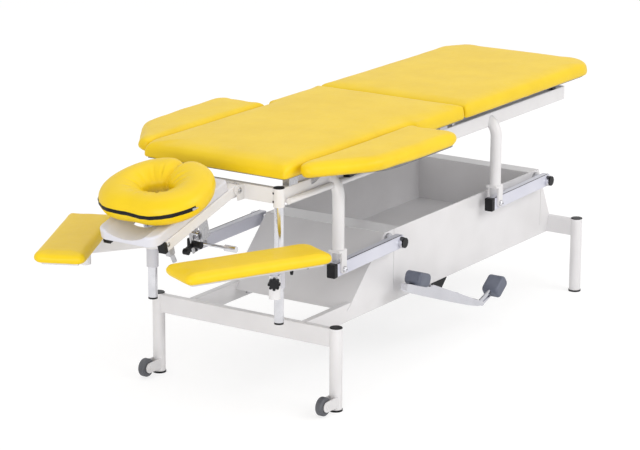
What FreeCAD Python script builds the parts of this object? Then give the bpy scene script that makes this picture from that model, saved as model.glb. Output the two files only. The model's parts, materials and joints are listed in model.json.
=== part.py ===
import FreeCAD, Part
import math
import os

# Hydraulic therapy table with a two-section top, a tilting head section, two side wings and two
# lower arm supports. Millimetres. +X runs to the leg end, +Y to the far side, +Z up, and the floor
# is z = 0. Near means the side of the pump pedals, at -Y.

os.makedirs("parts", exist_ok=True)
V = FreeCAD.Vector
X_AXIS = V(1, 0, 0)
Y_AXIS = V(0, 1, 0)
Z_AXIS = V(0, 0, 1)

# Fits
FIT = 0.05          # radial clearance of a running shaft
GAP = 0.3           # clearance between pieces that move past each other
SIDE_PLAY = 0.5     # play of an arm between the lugs of its fork

# Base: four round legs, two cross tubes and two long rails on one level
LEG_FRONT_X = -441.0
LEG_Y = 285.0
LEG_R = 17.0
LEG_WALL = 2.0
LEG_TOP = 224.0
CAP_T = 2.5
FOOT_H = 5.0
FOOT_R = 18.5
TUBE_H = 50.0
TUBE_T = 20.0
TUBE_WALL = 2.0
TUBE_ROUND = 2.5
BASE_Z = 172.0
RAIL_Y = 181.0

# Transport wheels ahead of the front legs
WHEEL_R = 25.0
WHEEL_W = 20.0
WHEEL_LIFT = 3.0
WHEEL_REACH = 60.0
AXLE_R = 4.0
HUB_R = 15.0
FORK_T = 3.0
FORK_H = 28.0

# Housing of sheet metal with a sloping front and rear and a tray let into its top
SHEET = 2.0
HOUSE_TOP = 378.0
HOUSE_BOTTOM = 203.0
HOUSE_FRONT_TOP_X = -62.0
HOUSE_FRONT_BOTTOM_X = -244.0
HOUSE_REAR_TOP_X = 799.0
REAR_LEAN = 75.0
CHEEK_FRONT_X = -14.0
CHEEK_BACK = 17.0
CHEEK_GAP = 1.5
TRAY_FRONT_X = 16.0
TRAY_LEDGE = 52.0
TRAY_FLOOR_Z = 247.0

# Lift: two pairs of parallel arms between the base shafts and the hanger pins
SHAFT_R = 12.5
SHAFT_FRONT_X = -47.0
SHAFT_SET_IN = 24.0
SHAFT_Z = 355.0
ARM_LENGTH = 290.0
ARM_ANGLE = 1.0
ARM_H = 35.0
ARM_W = 24.0
ARM_WALL = 3.0
ARM_Y = 224.5
ARM_END = 24.0
GROOVE = 1.5
ARM_ROOT = 12.0
PLUG_L = 14.0
PLUG_EDGE = 1.0
COLLAR_R = 16.0
COLLAR_T = 11.0
SHAFT_CAP_R = 14.0
SHAFT_CAP_T = 3.0
BUSH_R = 19.0
BUSH_T = 6.0
BEARING_T = 6.0
BEARING_R = 20.0

# Hangers: bent tubes with a fork that straddles the arm
PIN_R = 5.0
PIN_HEAD_R = 8.0
PIN_HEAD_T = 4.0
LUG_T = 5.0
LUG_W = 24.0
FORK_CLEAR = 46.0
BRIDGE_T = 8.0
HANGER_R = 16.0
HANGER_WALL = 2.5
HANGER_BEND = 55.0
HANGER_BACK = 8.0
HANGER_Y = 227.5
HANGER_DROP = 12.0

# Upper frame
TOP_Z = 572.0
TOP_H = 40.0
TOP_T = 20.0
TOP_Y = 200.0
TOP_FRONT_X = -578.0
TOP_REAR_X = 914.0
CROSS_FRONT_X = -320.0
CROSS_MID_X = 200.0
SOCKET_R = 15.0
SOCKET_DROP = 8.0
POST_R = 12.5
POST_WALL = 2.0
POST_BOTTOM = 261.0
SCREW_R = 3.0
SCREW_OUT = 1.5
ROD_R = 8.0
ROD_Z = 577.0
ROD_END_X = 120.0
LATCH_L = 20.0

# Top sections: board underneath, upholstery above
BOARD_T = 8.0
BOARD_INSET = 14.0
PAD_BOTTOM = 634.0
PAD_T = 42.0
PAD_ROUND = 14.0
PAD_UNDER_ROUND = 7.0
PAD_FRONT_X = -587.0
SEAM_X = 273.0
PAD_REAR_X = 1048.0
PAD_HALF_W = 252.0
NECK_STEP = 23.0
SEAM_GAP = 2.0
REAR_CORNER = 85.0
FRONT_CORNER = 16.0
SPACER_L = 40.0

# Hinge of the leg section, in slots between the two pads
HINGE_Z = 664.0
HINGE_PIN_R = 4.0
EAR_T = 5.0
EAR_R = 7.0
SLOT_HALF = 24.0
LEG_BAR_T = 13.0
LEG_BAR_Y = 150.0
REST_X = 850.0

# Side wings
WING_FRONT_X = -552.0
WING_SHOULDER_X = -345.0
WING_REAR_X = 6.0
WING_GAP = 3.0
WING_W = 153.0
WING_AXIS_OUT = 5.0
WING_SINK = 3.0
WING_SHOULDER_ROUND = 180.0
WING_CORNER = 28.0
WING_BOARD_INSET = 8.0
WING_PIN_R = 3.0
WING_KNUCKLE = 5.5
WING_KNUCKLE_L = 12.0
WING_HINGE_XS = (-440.0, -40.0)

# Head section, laid out level and then tilted about its hinge
HEAD_X = -613.0
HEAD_Z = 600.0
HEAD_TILT = 15.5
HEAD_BAR_W = 20.0
HEAD_BAR_H = 27.0
HEAD_BAR_Y = 85.0
HEAD_BAR_END = 305.0
HEAD_BOARD_START = 22.0
HEAD_BOARD_END = 344.0
HEAD_BOARD_HALF_W = 91.0
HEAD_BOARD_T = 27.0
HEAD_BOARD_CORNER = 30.0
HEAD_SCOOP = 16.0
HEAD_HOLE_START = 120.0
HEAD_HOLE_END = 276.0
HEAD_HOLE_HALF_W = 42.0
HEAD_LUG_R = 13.0
HEAD_PIN_R = 5.0
HEAD_SHAFT_S = 149.0
HEAD_SHAFT_N = -52.0
HEAD_SHAFT_R = 5.0
HEAD_RACK_S = 198.0
LEVER_DROP = 26.0
LEVER_REACH = 105.0
LEVER_ROD_R = 4.0
GRIP_R = 8.0
CUSHION_CENTRE = 190.0
CUSHION_HALF_L = 137.0
CUSHION_HALF_W = 152.0
CUSHION_T = 76.0
CUSHION_ROUND = 30.0
CUSHION_HOLE_L = 42.0
CUSHION_HOLE_W = 55.0
CUSHION_SLIT = 9.0

# Lower arm supports on the posts
SLEEVE_R = 16.0
SLEEVE_BOTTOM = 344.0
SLEEVE_H = 50.0
NECK_R = 14.0
COLLAR_H = 36.0
SWING_COLLAR_R = 19.0
SWING_LENGTH = 183.0
SWING_BAR_H = 30.0
SWING_BAR_T = 10.0
STEM_SOCKET_R = 14.5
STEM_R = 11.0
STEM_SOCKET_DROP = 25.0
ARM_PAD_L = 410.0
ARM_PAD_W = 134.0
ARM_PAD_T = 28.0
ARM_PAD_ROUND = 12.0
ARM_PAD_CORNER = 18.0
ARM_BOARD_T = 6.0
ARM_BOARD_INSET = 20.0
KNOB_R = 16.0
KNOB_T = 12.0
KNOB_LOBES = 8
ARM_BOARD_RISE = 18.0
NEAR_RAISE = 9.0
NEAR_SWING = 31.0
NEAR_PAD_SHIFT = 70.0
FAR_SWING = 34.0
FAR_PAD_SHIFT = 103.0
ARM_PAD_TURN = 26.0

# Foot pump lever, a rocker on a cross shaft under the near rail
PUMP_X = 215.0
PUMP_Z = 141.0
PUMP_SHAFT_R = 7.0
LEVER_Y = 252.0
LEVER_SLOPE = 19.5
LEVER_LEFT = 285.0
LEVER_RIGHT = 166.0
LEVER_H = 36.0
LEVER_T = 20.0
PEDAL_W = 52.0
PEDAL_L = 62.0
PEDAL_T = 38.0
PEDAL_ROUND = 13.0
ROD_UP = 90.0
ROD_RISE = 18.0
PUMP_ROD_R = 6.5
UNIT_HALF = 40.0
TANK_R = 28.0
TANK_L = 190.0

# Sizes that follow from the ones above
HOUSE_REAR_BOTTOM_X = HOUSE_REAR_TOP_X + REAR_LEAN
LEG_REAR_X = HOUSE_REAR_BOTTOM_X + 1
CHEEK_REAR_X = HOUSE_REAR_TOP_X + CHEEK_BACK
TRAY_REAR_X = HOUSE_REAR_TOP_X - TRAY_LEDGE
SHAFT_REAR_X = HOUSE_REAR_TOP_X - SHAFT_SET_IN
PAD_NECK_HALF_W = PAD_HALF_W - NECK_STEP
WING_INNER_Y = PAD_NECK_HALF_W + WING_GAP
WING_OUTER_Y = WING_INNER_Y + WING_W
WING_HINGE_Y = WING_INNER_Y + WING_AXIS_OUT
BASE_TOP = BASE_Z + TUBE_H
RAIL_OUT = RAIL_Y + TUBE_T / 2
RAIL_IN = RAIL_Y - TUBE_T / 2
SIDE_OUT = RAIL_OUT + SHEET
TOP_TOP = TOP_Z + TOP_H
TOP_OUT = TOP_Y + TOP_T / 2
PAD_TOP = PAD_BOTTOM + PAD_T
BOARD_Z = PAD_BOTTOM - 1
ARM_DX = ARM_LENGTH * math.cos(math.radians(ARM_ANGLE))
ARM_DZ = ARM_LENGTH * math.sin(math.radians(ARM_ANGLE))
PIN_FRONT_X = SHAFT_FRONT_X - ARM_DX
PIN_REAR_X = SHAFT_REAR_X - ARM_DX
PIN_Z = SHAFT_Z - ARM_DZ
ARM_OUT = ARM_Y + ARM_W / 2
ARM_IN = ARM_Y - ARM_W / 2
LUG_OUT = ARM_OUT + SIDE_PLAY + LUG_T
LUG_IN = ARM_IN - SIDE_PLAY - LUG_T
BRIDGE_Z = PIN_Z + FORK_CLEAR
HEAD_BOARD_N = HEAD_BAR_H / 2
HEAD_TOP_N = HEAD_BOARD_N + HEAD_BOARD_T
SWING_Z = SLEEVE_BOTTOM + SLEEVE_H + GAP
ARM_BOARD_Z = SWING_Z + COLLAR_H + ARM_BOARD_RISE
PUMP_END_X = math.cos(math.radians(LEVER_SLOPE))
PUMP_END_Z = math.sin(math.radians(LEVER_SLOPE))


def box(x0, x1, y0, y1, z0, z1):
    return Part.makeBox(x1 - x0, y1 - y0, z1 - z0, V(x0, y0, z0))


def rod(start, end, radius):
    path = end - start
    return Part.makeCylinder(radius, path.Length, start, path)


def ring(start, end, outer, inner):
    return rod(start, end, outer).cut(rod(start, end, inner))


def mirrored(shape):
    return shape.mirror(V(0, 0, 0), Y_AXIS)


def pair(shape):
    return Part.makeCompound([shape, mirrored(shape)])


def extrude(points, direction):
    corners = points + [points[0]]
    return Part.Face(Part.makePolygon(corners)).extrude(direction)


def edges_along(shape, axis):
    found = []
    for edge in shape.Edges:
        if edge.Curve.TypeId != "Part::GeomLine":
            continue
        if abs(abs(edge.tangentAt(edge.FirstParameter).dot(axis)) - 1) < 1e-6:
            found.append(edge)
    return found


def box_tube(x0, x1, y0, y1, z0, z1, axis, wall, corner):
    outer = box(x0, x1, y0, y1, z0, z1)
    outer = outer.makeFillet(corner, edges_along(outer, axis))
    inset = V(wall, wall, wall) - axis * wall
    low = V(x0, y0, z0) + inset
    high = V(x1, y1, z1) - inset
    return outer.cut(box(low.x, high.x, low.y, high.y, low.z, high.z))


def turned(shape, centre, axis, angle):
    copy = shape.copy()
    copy.rotate(centre, axis, angle)
    return copy


def save(name, shape):
    shape.exportStep("parts/" + name + ".step")


def leg_places():
    return [(x, y) for x in (LEG_FRONT_X, LEG_REAR_X) for y in (-LEG_Y, LEG_Y)]


def base_legs():
    legs = []
    for x, y in leg_places():
        legs.append(ring(V(x, y, FOOT_H / 2), V(x, y, LEG_TOP), LEG_R, LEG_R - LEG_WALL))
    return Part.makeCompound(legs)


def leg_caps():
    caps = []
    for x, y in leg_places():
        top = rod(V(x, y, LEG_TOP), V(x, y, LEG_TOP + CAP_T), LEG_R)
        top = top.makeFillet(CAP_T * 0.6, [top.Edges[0]])
        plug = rod(V(x, y, LEG_TOP - 6 * CAP_T), V(x, y, LEG_TOP), LEG_R - LEG_WALL)
        caps.append(top.fuse(plug))
    return Part.makeCompound(caps)


def leg_feet():
    feet = []
    for x, y in leg_places():
        cup = rod(V(x, y, 0), V(x, y, FOOT_H), FOOT_R)
        cup = cup.cut(rod(V(x, y, FOOT_H / 2), V(x, y, FOOT_H), LEG_R))
        feet.append(cup)
    return Part.makeCompound(feet)


def base_cross(x):
    tube = box_tube(x - TUBE_T / 2, x + TUBE_T / 2, -LEG_Y, LEG_Y, BASE_Z, BASE_TOP,
                    Y_AXIS, TUBE_WALL, TUBE_ROUND)
    for y in (-LEG_Y, LEG_Y):
        tube = tube.cut(rod(V(x, y, 0), V(x, y, LEG_TOP), LEG_R))
    return tube


def base_rails():
    start = LEG_FRONT_X + TUBE_T / 2
    end = LEG_REAR_X - TUBE_T / 2
    rail = box_tube(start, end, -RAIL_OUT, -RAIL_IN, BASE_Z, BASE_TOP, X_AXIS, TUBE_WALL, TUBE_ROUND)
    return pair(rail)


def wheel_centre():
    return V(LEG_FRONT_X - WHEEL_REACH, -LEG_Y, WHEEL_R + WHEEL_LIFT)


def wheel_fork():
    hub = wheel_centre()
    plates = []
    for side in (-1, 1):
        inner = hub.y + side * (WHEEL_W / 2 + 1)
        low, high = sorted((inner, inner + side * FORK_T))
        plate = box(hub.x, LEG_FRONT_X, low, high, hub.z - FORK_H / 2, hub.z + FORK_H / 2)
        plates.append(plate.fuse(rod(V(hub.x, low, hub.z), V(hub.x, high, hub.z), FORK_H / 2)))
    axle = rod(V(hub.x, hub.y - WHEEL_W / 2 - 2 * FORK_T, hub.z),
               V(hub.x, hub.y + WHEEL_W / 2 + 2 * FORK_T, hub.z), AXLE_R)
    fork = plates[0].fuse([plates[1], axle])
    return fork.cut(rod(V(LEG_FRONT_X, hub.y, 0), V(LEG_FRONT_X, hub.y, LEG_TOP), LEG_R))


def wheel():
    hub = wheel_centre()
    half = V(0, WHEEL_W / 2, 0)
    tyre = rod(hub - half, hub + half, WHEEL_R)
    tyre = tyre.makeFillet(5, [e for e in tyre.Edges if e.Curve.TypeId == "Part::GeomCircle"])
    for side in (-1, 1):
        face = hub + half * side
        tyre = tyre.cut(rod(face, face - half * (0.25 * side), HUB_R))
    return tyre.cut(rod(hub - half, hub + half, AXLE_R + FIT))


def slope_x(z):
    share = (z - HOUSE_BOTTOM) / (HOUSE_TOP - HOUSE_BOTTOM)
    return HOUSE_FRONT_BOTTOM_X + share * (HOUSE_FRONT_TOP_X - HOUSE_FRONT_BOTTOM_X)


def rear_slope_x(z):
    share = (z - BASE_TOP) / (HOUSE_TOP - BASE_TOP)
    return HOUSE_REAR_BOTTOM_X + share * (HOUSE_REAR_TOP_X - HOUSE_REAR_BOTTOM_X)


def shaft_holes(radius):
    holes = []
    for x in (SHAFT_FRONT_X, SHAFT_REAR_X):
        holes.append(rod(V(x, -LUG_OUT, SHAFT_Z), V(x, LUG_OUT, SHAFT_Z), radius))
    return holes


def housing_front():
    step = SHEET * math.sqrt(2)
    top_z = HOUSE_TOP - SHEET
    slope = extrude([V(slope_x(HOUSE_BOTTOM), -RAIL_OUT, HOUSE_BOTTOM), V(slope_x(top_z), -RAIL_OUT, top_z),
                     V(slope_x(top_z) + step, -RAIL_OUT, top_z),
                     V(slope_x(HOUSE_BOTTOM) + step, -RAIL_OUT, HOUSE_BOTTOM)], V(0, 2 * RAIL_OUT, 0))
    for side in (-1, 1):
        y0, y1 = sorted((side * (RAIL_IN - GAP), side * RAIL_OUT))
        slope = slope.cut(box(LEG_FRONT_X, 0, y0, y1, 0, BASE_TOP))
    cheeks = []
    for side in (-1, 1):
        cheeks.append(extrude([V(slope_x(HOUSE_BOTTOM), side * RAIL_OUT, HOUSE_BOTTOM),
                               V(slope_x(HOUSE_TOP), side * RAIL_OUT, HOUSE_TOP),
                               V(CHEEK_FRONT_X, side * RAIL_OUT, HOUSE_TOP),
                               V(CHEEK_FRONT_X, side * RAIL_OUT, HOUSE_BOTTOM)], V(0, side * SHEET, 0)))
    shell = slope.fuse(cheeks)
    return shell.cut(shaft_holes(SHAFT_R + 1))


def housing_rear():
    top_z = HOUSE_TOP - SHEET
    slope = extrude([V(rear_slope_x(BASE_TOP), -RAIL_OUT, BASE_TOP), V(rear_slope_x(top_z), -RAIL_OUT, top_z),
                     V(rear_slope_x(top_z) - SHEET, -RAIL_OUT, top_z),
                     V(rear_slope_x(BASE_TOP) - SHEET, -RAIL_OUT, BASE_TOP)], V(0, 2 * RAIL_OUT, 0))
    cheeks = []
    for side in (-1, 1):
        cheeks.append(extrude([V(CHEEK_REAR_X, side * RAIL_OUT, HOUSE_BOTTOM),
                               V(CHEEK_REAR_X, side * RAIL_OUT, rear_cheek_top()),
                               V(rear_slope_x(BASE_TOP), side * RAIL_OUT, BASE_TOP),
                               V(rear_slope_x(BASE_TOP), side * RAIL_OUT, HOUSE_BOTTOM)],
                              V(0, side * SHEET, 0)))
    tube = box(LEG_REAR_X - TUBE_T / 2 - GAP, LEG_REAR_X + TUBE_T, -SIDE_OUT, SIDE_OUT, BASE_Z, BASE_TOP)
    return slope.fuse(cheeks).cut(tube)


def rear_cheek_top():
    share = (CHEEK_REAR_X - HOUSE_REAR_BOTTOM_X) / (HOUSE_REAR_TOP_X - HOUSE_REAR_BOTTOM_X)
    return BASE_TOP + share * (HOUSE_TOP - BASE_TOP)


def housing_sides():
    start = CHEEK_FRONT_X + CHEEK_GAP
    end = CHEEK_REAR_X - CHEEK_GAP
    high = rear_cheek_top() + CHEEK_GAP * (HOUSE_TOP - BASE_TOP) / (HOUSE_REAR_BOTTOM_X - HOUSE_REAR_TOP_X)
    panel = extrude([V(start, -SIDE_OUT, HOUSE_BOTTOM), V(start, -SIDE_OUT, HOUSE_TOP),
                     V(HOUSE_REAR_TOP_X, -SIDE_OUT, HOUSE_TOP), V(end, -SIDE_OUT, high),
                     V(end, -SIDE_OUT, HOUSE_BOTTOM)], V(0, SHEET, 0))
    return pair(panel.cut(shaft_holes(SHAFT_R + 1)))


def tray():
    width = RAIL_OUT
    outer = box(TRAY_FRONT_X - SHEET, TRAY_REAR_X + SHEET, -width, width, TRAY_FLOOR_Z - SHEET, HOUSE_TOP)
    inner = box(TRAY_FRONT_X, TRAY_REAR_X, -width + SHEET, width - SHEET, TRAY_FLOOR_Z, HOUSE_TOP)
    front = box(slope_x(HOUSE_TOP), TRAY_FRONT_X - SHEET, -width, width, HOUSE_TOP - SHEET, HOUSE_TOP)
    rear = box(TRAY_REAR_X + SHEET, HOUSE_REAR_TOP_X, -width, width, HOUSE_TOP - SHEET, HOUSE_TOP)
    return outer.cut(inner).fuse([front, rear]).removeSplitter()


def bearing(x, foot_front, foot_rear):
    y0 = RAIL_IN - BEARING_T
    plate = extrude([V(foot_front, y0, BASE_Z + 8), V(foot_front, y0, BASE_TOP),
                     V(x - BEARING_R, y0, SHAFT_Z), V(x + BEARING_R, y0, SHAFT_Z),
                     V(foot_rear, y0, BASE_TOP), V(foot_rear, y0, BASE_Z + 8)], V(0, BEARING_T, 0))
    plate = plate.fuse(rod(V(x, y0, SHAFT_Z), V(x, RAIL_IN, SHAFT_Z), BEARING_R))
    return plate.cut(rod(V(x, y0, SHAFT_Z), V(x, RAIL_IN, SHAFT_Z), SHAFT_R + FIT))


def shaft_bearings():
    pieces = []
    tray_clear = TRAY_FRONT_X - SHEET - GAP
    front = bearing(SHAFT_FRONT_X, slope_x(BASE_TOP) + 30, tray_clear)
    rear = bearing(SHAFT_REAR_X, TRAY_REAR_X + SHEET + GAP, rear_slope_x(SHAFT_Z))
    for plate in (front, rear):
        pieces += [plate, mirrored(plate)]
    for x in (SHAFT_FRONT_X, SHAFT_REAR_X):
        bush = ring(V(x, SIDE_OUT, SHAFT_Z), V(x, SIDE_OUT + BUSH_T, SHAFT_Z), BUSH_R, SHAFT_R + FIT)
        pieces += [bush, mirrored(bush)]
    return Part.makeCompound(pieces)


def hydraulic_unit():
    half = RAIL_IN
    tank_y = 1.5 * UNIT_HALF - half
    tank_z = BASE_Z + UNIT_HALF
    carrier = box(PUMP_X - UNIT_HALF - 5, PUMP_X + UNIT_HALF + 5, -half, half, BASE_Z, BASE_Z + 6)
    block = box(PUMP_X - UNIT_HALF, PUMP_X + UNIT_HALF, -half + 12, -half + 12 + 2.5 * UNIT_HALF,
                BASE_Z + 6, TRAY_FLOOR_Z - 8)
    block = block.makeFillet(6, edges_along(block, Z_AXIS))
    tank_end = PUMP_X - UNIT_HALF - TANK_L
    tank = rod(V(tank_end, tank_y, tank_z), V(PUMP_X - UNIT_HALF, tank_y, tank_z), TANK_R)
    neck = rod(V(tank_end - 70, tank_y, tank_z), V(tank_end, tank_y, tank_z), TANK_R / 3)
    bracket = extrude([V(PUMP_X - 16, -RAIL_OUT, BASE_Z), V(PUMP_X + 62, -RAIL_OUT, BASE_Z),
                       V(PUMP_X + 16, -RAIL_OUT, PUMP_Z - 12), V(PUMP_X - 16, -RAIL_OUT, PUMP_Z - 12)],
                      V(0, TUBE_T + 14, 0))
    tie = box(PUMP_X - 16, PUMP_X + 16, -RAIL_IN + 2, -RAIL_IN + 14, PUMP_Z, BASE_Z + 3)
    unit = carrier.fuse([block, tank, neck, bracket, tie])
    return unit.cut(rod(V(PUMP_X, -LEVER_Y, PUMP_Z), V(PUMP_X, 0, PUMP_Z), PUMP_SHAFT_R + FIT))


def lift_arm(shaft_x):
    start = shaft_x - ARM_LENGTH - ARM_END
    tube = box_tube(start, shaft_x + ARM_ROOT, -ARM_OUT, -ARM_IN, SHAFT_Z - ARM_H / 2, SHAFT_Z + ARM_H / 2,
                    X_AXIS, ARM_WALL, TUBE_ROUND)
    pin_x = shaft_x - ARM_LENGTH
    for x, outer, inner in ((shaft_x, SHAFT_R + 4, SHAFT_R), (pin_x, PIN_R + 4, PIN_R + FIT)):
        low = V(x, -ARM_OUT, SHAFT_Z)
        high = V(x, -ARM_IN, SHAFT_Z)
        boss = rod(low + Y_AXIS * ARM_WALL, high - Y_AXIS * ARM_WALL, outer)
        tube = tube.fuse(boss.common(box(start, shaft_x + ARM_ROOT, -ARM_OUT, -ARM_IN, 0, HOUSE_TOP)))
        tube = tube.cut(rod(low, high, inner))
    top = SHAFT_Z + ARM_H / 2
    tube = tube.cut(box(start, shaft_x + ARM_ROOT, -ARM_OUT + ARM_WALL, -ARM_OUT + ARM_WALL + GROOVE,
                        top - GROOVE, top))
    arm = turned(tube, V(shaft_x, 0, SHAFT_Z), Y_AXIS, -ARM_ANGLE)
    return pair(arm)


def torque_shaft(x):
    reach = ARM_OUT + COLLAR_T
    shaft = rod(V(x, -reach, SHAFT_Z), V(x, reach, SHAFT_Z), SHAFT_R)
    for side in (-1, 1):
        shaft = shaft.fuse(rod(V(x, side * ARM_OUT, SHAFT_Z), V(x, side * reach, SHAFT_Z), COLLAR_R))
    return shaft


def arm_caps(shaft_x):
    start = shaft_x - ARM_LENGTH - ARM_END
    edge = PLUG_EDGE
    plug = box(start - PLUG_L, start, -ARM_OUT - edge / 2, -ARM_IN + edge / 2,
               SHAFT_Z - ARM_H / 2 - edge, SHAFT_Z + ARM_H / 2 + edge)
    plug = plug.makeFillet(TUBE_ROUND, edges_along(plug, X_AXIS))
    plug = turned(plug, V(shaft_x, 0, SHAFT_Z), Y_AXIS, -ARM_ANGLE)
    reach = ARM_OUT + COLLAR_T
    cap = rod(V(shaft_x, -reach - SHAFT_CAP_T, SHAFT_Z), V(shaft_x, -reach, SHAFT_Z), SHAFT_CAP_R)
    return Part.makeCompound([plug, mirrored(plug), cap, mirrored(cap)])


def hanger(pin_x):
    tube_x = pin_x - HANGER_BACK
    rail_z = TOP_TOP - HANGER_DROP
    corner = V(tube_x, -HANGER_Y + HANGER_BEND, rail_z - HANGER_BEND)
    middle = corner + V(0, -1, 1) * (HANGER_BEND / math.sqrt(2))
    arc = Part.Arc(V(tube_x, corner.y, rail_z), middle, V(tube_x, -HANGER_Y, corner.z)).toShape()
    line = Part.LineSegment(V(tube_x, -HANGER_Y, corner.z), V(tube_x, -HANGER_Y, BRIDGE_Z + BRIDGE_T)).toShape()
    path = Part.Wire([arc, line])
    solids = []
    for radius in (HANGER_R, HANGER_R - HANGER_WALL):
        profile = Part.Wire(Part.makeCircle(radius, V(tube_x, corner.y, rail_z), Y_AXIS))
        solids.append(path.makePipeShell([profile], True, False))
    tube = solids[0].cut(solids[1])
    wide = 3 * HANGER_R
    tube = tube.cut(box(tube_x - wide, tube_x + wide, -TOP_OUT, 0, TOP_Z, TOP_TOP + wide))
    tube = tube.cut(box(tube_x - wide, tube_x + wide, -TOP_OUT + TOP_T, 0, BRIDGE_Z, TOP_TOP + wide))
    bridge = box(tube_x - HANGER_R, pin_x + LUG_W / 2, -LUG_OUT, -LUG_IN, BRIDGE_Z, BRIDGE_Z + BRIDGE_T)
    crest = [e for e in edges_along(bridge, X_AXIS) if e.Vertexes[0].Z > BRIDGE_Z + 1]
    bridge = bridge.makeFillet(BRIDGE_T * 0.75, crest)
    lugs = []
    for low, high in ((-LUG_OUT, -LUG_OUT + LUG_T), (-LUG_IN - LUG_T, -LUG_IN)):
        lug = box(pin_x - LUG_W / 2, pin_x + LUG_W / 2, low, high, PIN_Z, BRIDGE_Z)
        lugs.append(lug.fuse(rod(V(pin_x, low, PIN_Z), V(pin_x, high, PIN_Z), LUG_W / 2)))
    body = bridge.fuse(lugs).cut(rod(V(pin_x, -LUG_OUT, PIN_Z), V(pin_x, -LUG_IN, PIN_Z), PIN_R))
    return pair(body.fuse(tube))


def hanger_pins():
    pins = []
    for x in (PIN_FRONT_X, PIN_REAR_X):
        pin = rod(V(x, -LUG_OUT, PIN_Z), V(x, -LUG_IN, PIN_Z), PIN_R)
        head = rod(V(x, -LUG_OUT - PIN_HEAD_T, PIN_Z), V(x, -LUG_OUT, PIN_Z), PIN_HEAD_R)
        head = head.makeFillet(PIN_HEAD_T * 0.7, [head.Edges[2]])
        nut = rod(V(x, -LUG_IN, PIN_Z), V(x, -LUG_IN + PIN_HEAD_T, PIN_Z), PIN_HEAD_R)
        whole = pin.fuse([head, nut])
        pins += [whole, mirrored(whole)]
    return Part.makeCompound(pins)


def top_rails():
    rail = box_tube(TOP_FRONT_X, TOP_REAR_X, -TOP_OUT, -TOP_OUT + TOP_T, TOP_Z, TOP_TOP,
                    X_AXIS, TUBE_WALL, TUBE_ROUND)
    rail = rail.cut(rod(V(TOP_FRONT_X, -TOP_Y, 0), V(TOP_FRONT_X, -TOP_Y, PAD_TOP), SOCKET_R))
    return pair(rail)


def top_cross_tubes():
    inner = TOP_Y - TOP_T / 2
    tubes = []
    for x in (TOP_FRONT_X, CROSS_FRONT_X, CROSS_MID_X, PIN_REAR_X, TOP_REAR_X - TOP_T / 2):
        width = TOP_Y if x == TOP_FRONT_X else inner
        tube = box_tube(x - TOP_T / 2, x + TOP_T / 2, -width, width, TOP_Z, TOP_TOP,
                        Y_AXIS, TUBE_WALL, TUBE_ROUND)
        for side in (-1, 1):
            tube = tube.cut(rod(V(TOP_FRONT_X, side * TOP_Y, 0), V(TOP_FRONT_X, side * TOP_Y, PAD_TOP), SOCKET_R))
        tubes.append(tube)
    return Part.makeCompound(tubes)


def corner_sockets():
    socket = ring(V(TOP_FRONT_X, -TOP_Y, TOP_Z - SOCKET_DROP), V(TOP_FRONT_X, -TOP_Y, TOP_TOP),
                  SOCKET_R, POST_R)
    return pair(socket)


def arm_posts():
    post = ring(V(TOP_FRONT_X, -TOP_Y, POST_BOTTOM), V(TOP_FRONT_X, -TOP_Y, TOP_TOP),
                POST_R, POST_R - POST_WALL)
    return pair(post)


def side_rods():
    y = -TOP_OUT - ROD_R
    gap = HANGER_R + 2
    hanger_x = PIN_FRONT_X - HANGER_BACK
    front = rod(V(TOP_FRONT_X + SOCKET_R, y, ROD_Z), V(hanger_x - gap, y, ROD_Z), ROD_R)
    rear = rod(V(hanger_x + gap, y, ROD_Z), V(ROD_END_X, y, ROD_Z), ROD_R)
    rods = [front, rear]
    return Part.makeCompound(rods + [mirrored(piece) for piece in rods])


def black_fittings():
    pieces = []
    top = rod(V(TOP_FRONT_X, -TOP_Y, TOP_TOP), V(TOP_FRONT_X, -TOP_Y, TOP_TOP + CAP_T), SOCKET_R - 1)
    foot = rod(V(TOP_FRONT_X, -TOP_Y, POST_BOTTOM - 2 * CAP_T), V(TOP_FRONT_X, -TOP_Y, POST_BOTTOM), POST_R)
    pieces += [top, foot]
    outward = V(-math.sin(math.radians(56)), math.cos(math.radians(56)), 0)
    for height in (TOP_Z + 6, TOP_TOP - 12):
        seat = V(TOP_FRONT_X, -TOP_Y, height) + outward * SOCKET_R
        pieces.append(rod(seat, seat + outward * SCREW_OUT, SCREW_R))
    latch_x = PIN_FRONT_X + HANGER_R + 26
    rod_y = -TOP_OUT - ROD_R
    block = box(latch_x, latch_x + LATCH_L, -TOP_OUT - 2 * ROD_R - 3, -TOP_OUT, ROD_Z + ROD_R, TOP_TOP + 6)
    handle = box(latch_x + LATCH_L, latch_x + 3 * LATCH_L, rod_y - 6, rod_y + 4,
                 ROD_Z + ROD_R, ROD_Z + ROD_R + 6)
    pieces.append(block.fuse(handle))
    rest = box(REST_X - TOP_T / 2, REST_X + TOP_T / 2, -TOP_OUT, -TOP_OUT + TOP_T, TOP_TOP, BOARD_Z - GAP)
    pieces.append(rest)
    return Part.makeCompound(pieces + [mirrored(piece) for piece in pieces])


def rounded_plan(points, radii, z0, z1):
    solid = extrude([V(x, y, z0) for x, y in points], V(0, 0, z1 - z0))
    for (x, y), radius in zip(points, radii):
        if radius <= 0:
            continue
        corner = [e for e in solid.Edges
                  if all(abs(v.X - x) < 1e-4 and abs(v.Y - y) < 1e-4 for v in e.Vertexes)]
        solid = solid.makeFillet(radius, corner)
    return solid


def soften(solid, top_round, bottom_round):
    for level, radius in ((solid.BoundBox.ZMax, top_round), (solid.BoundBox.ZMin, bottom_round)):
        rim = [e for e in solid.Edges if all(abs(v.Z - level) < 1e-4 for v in e.Vertexes)]
        solid = solid.makeFillet(radius, rim)
    return solid


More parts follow.
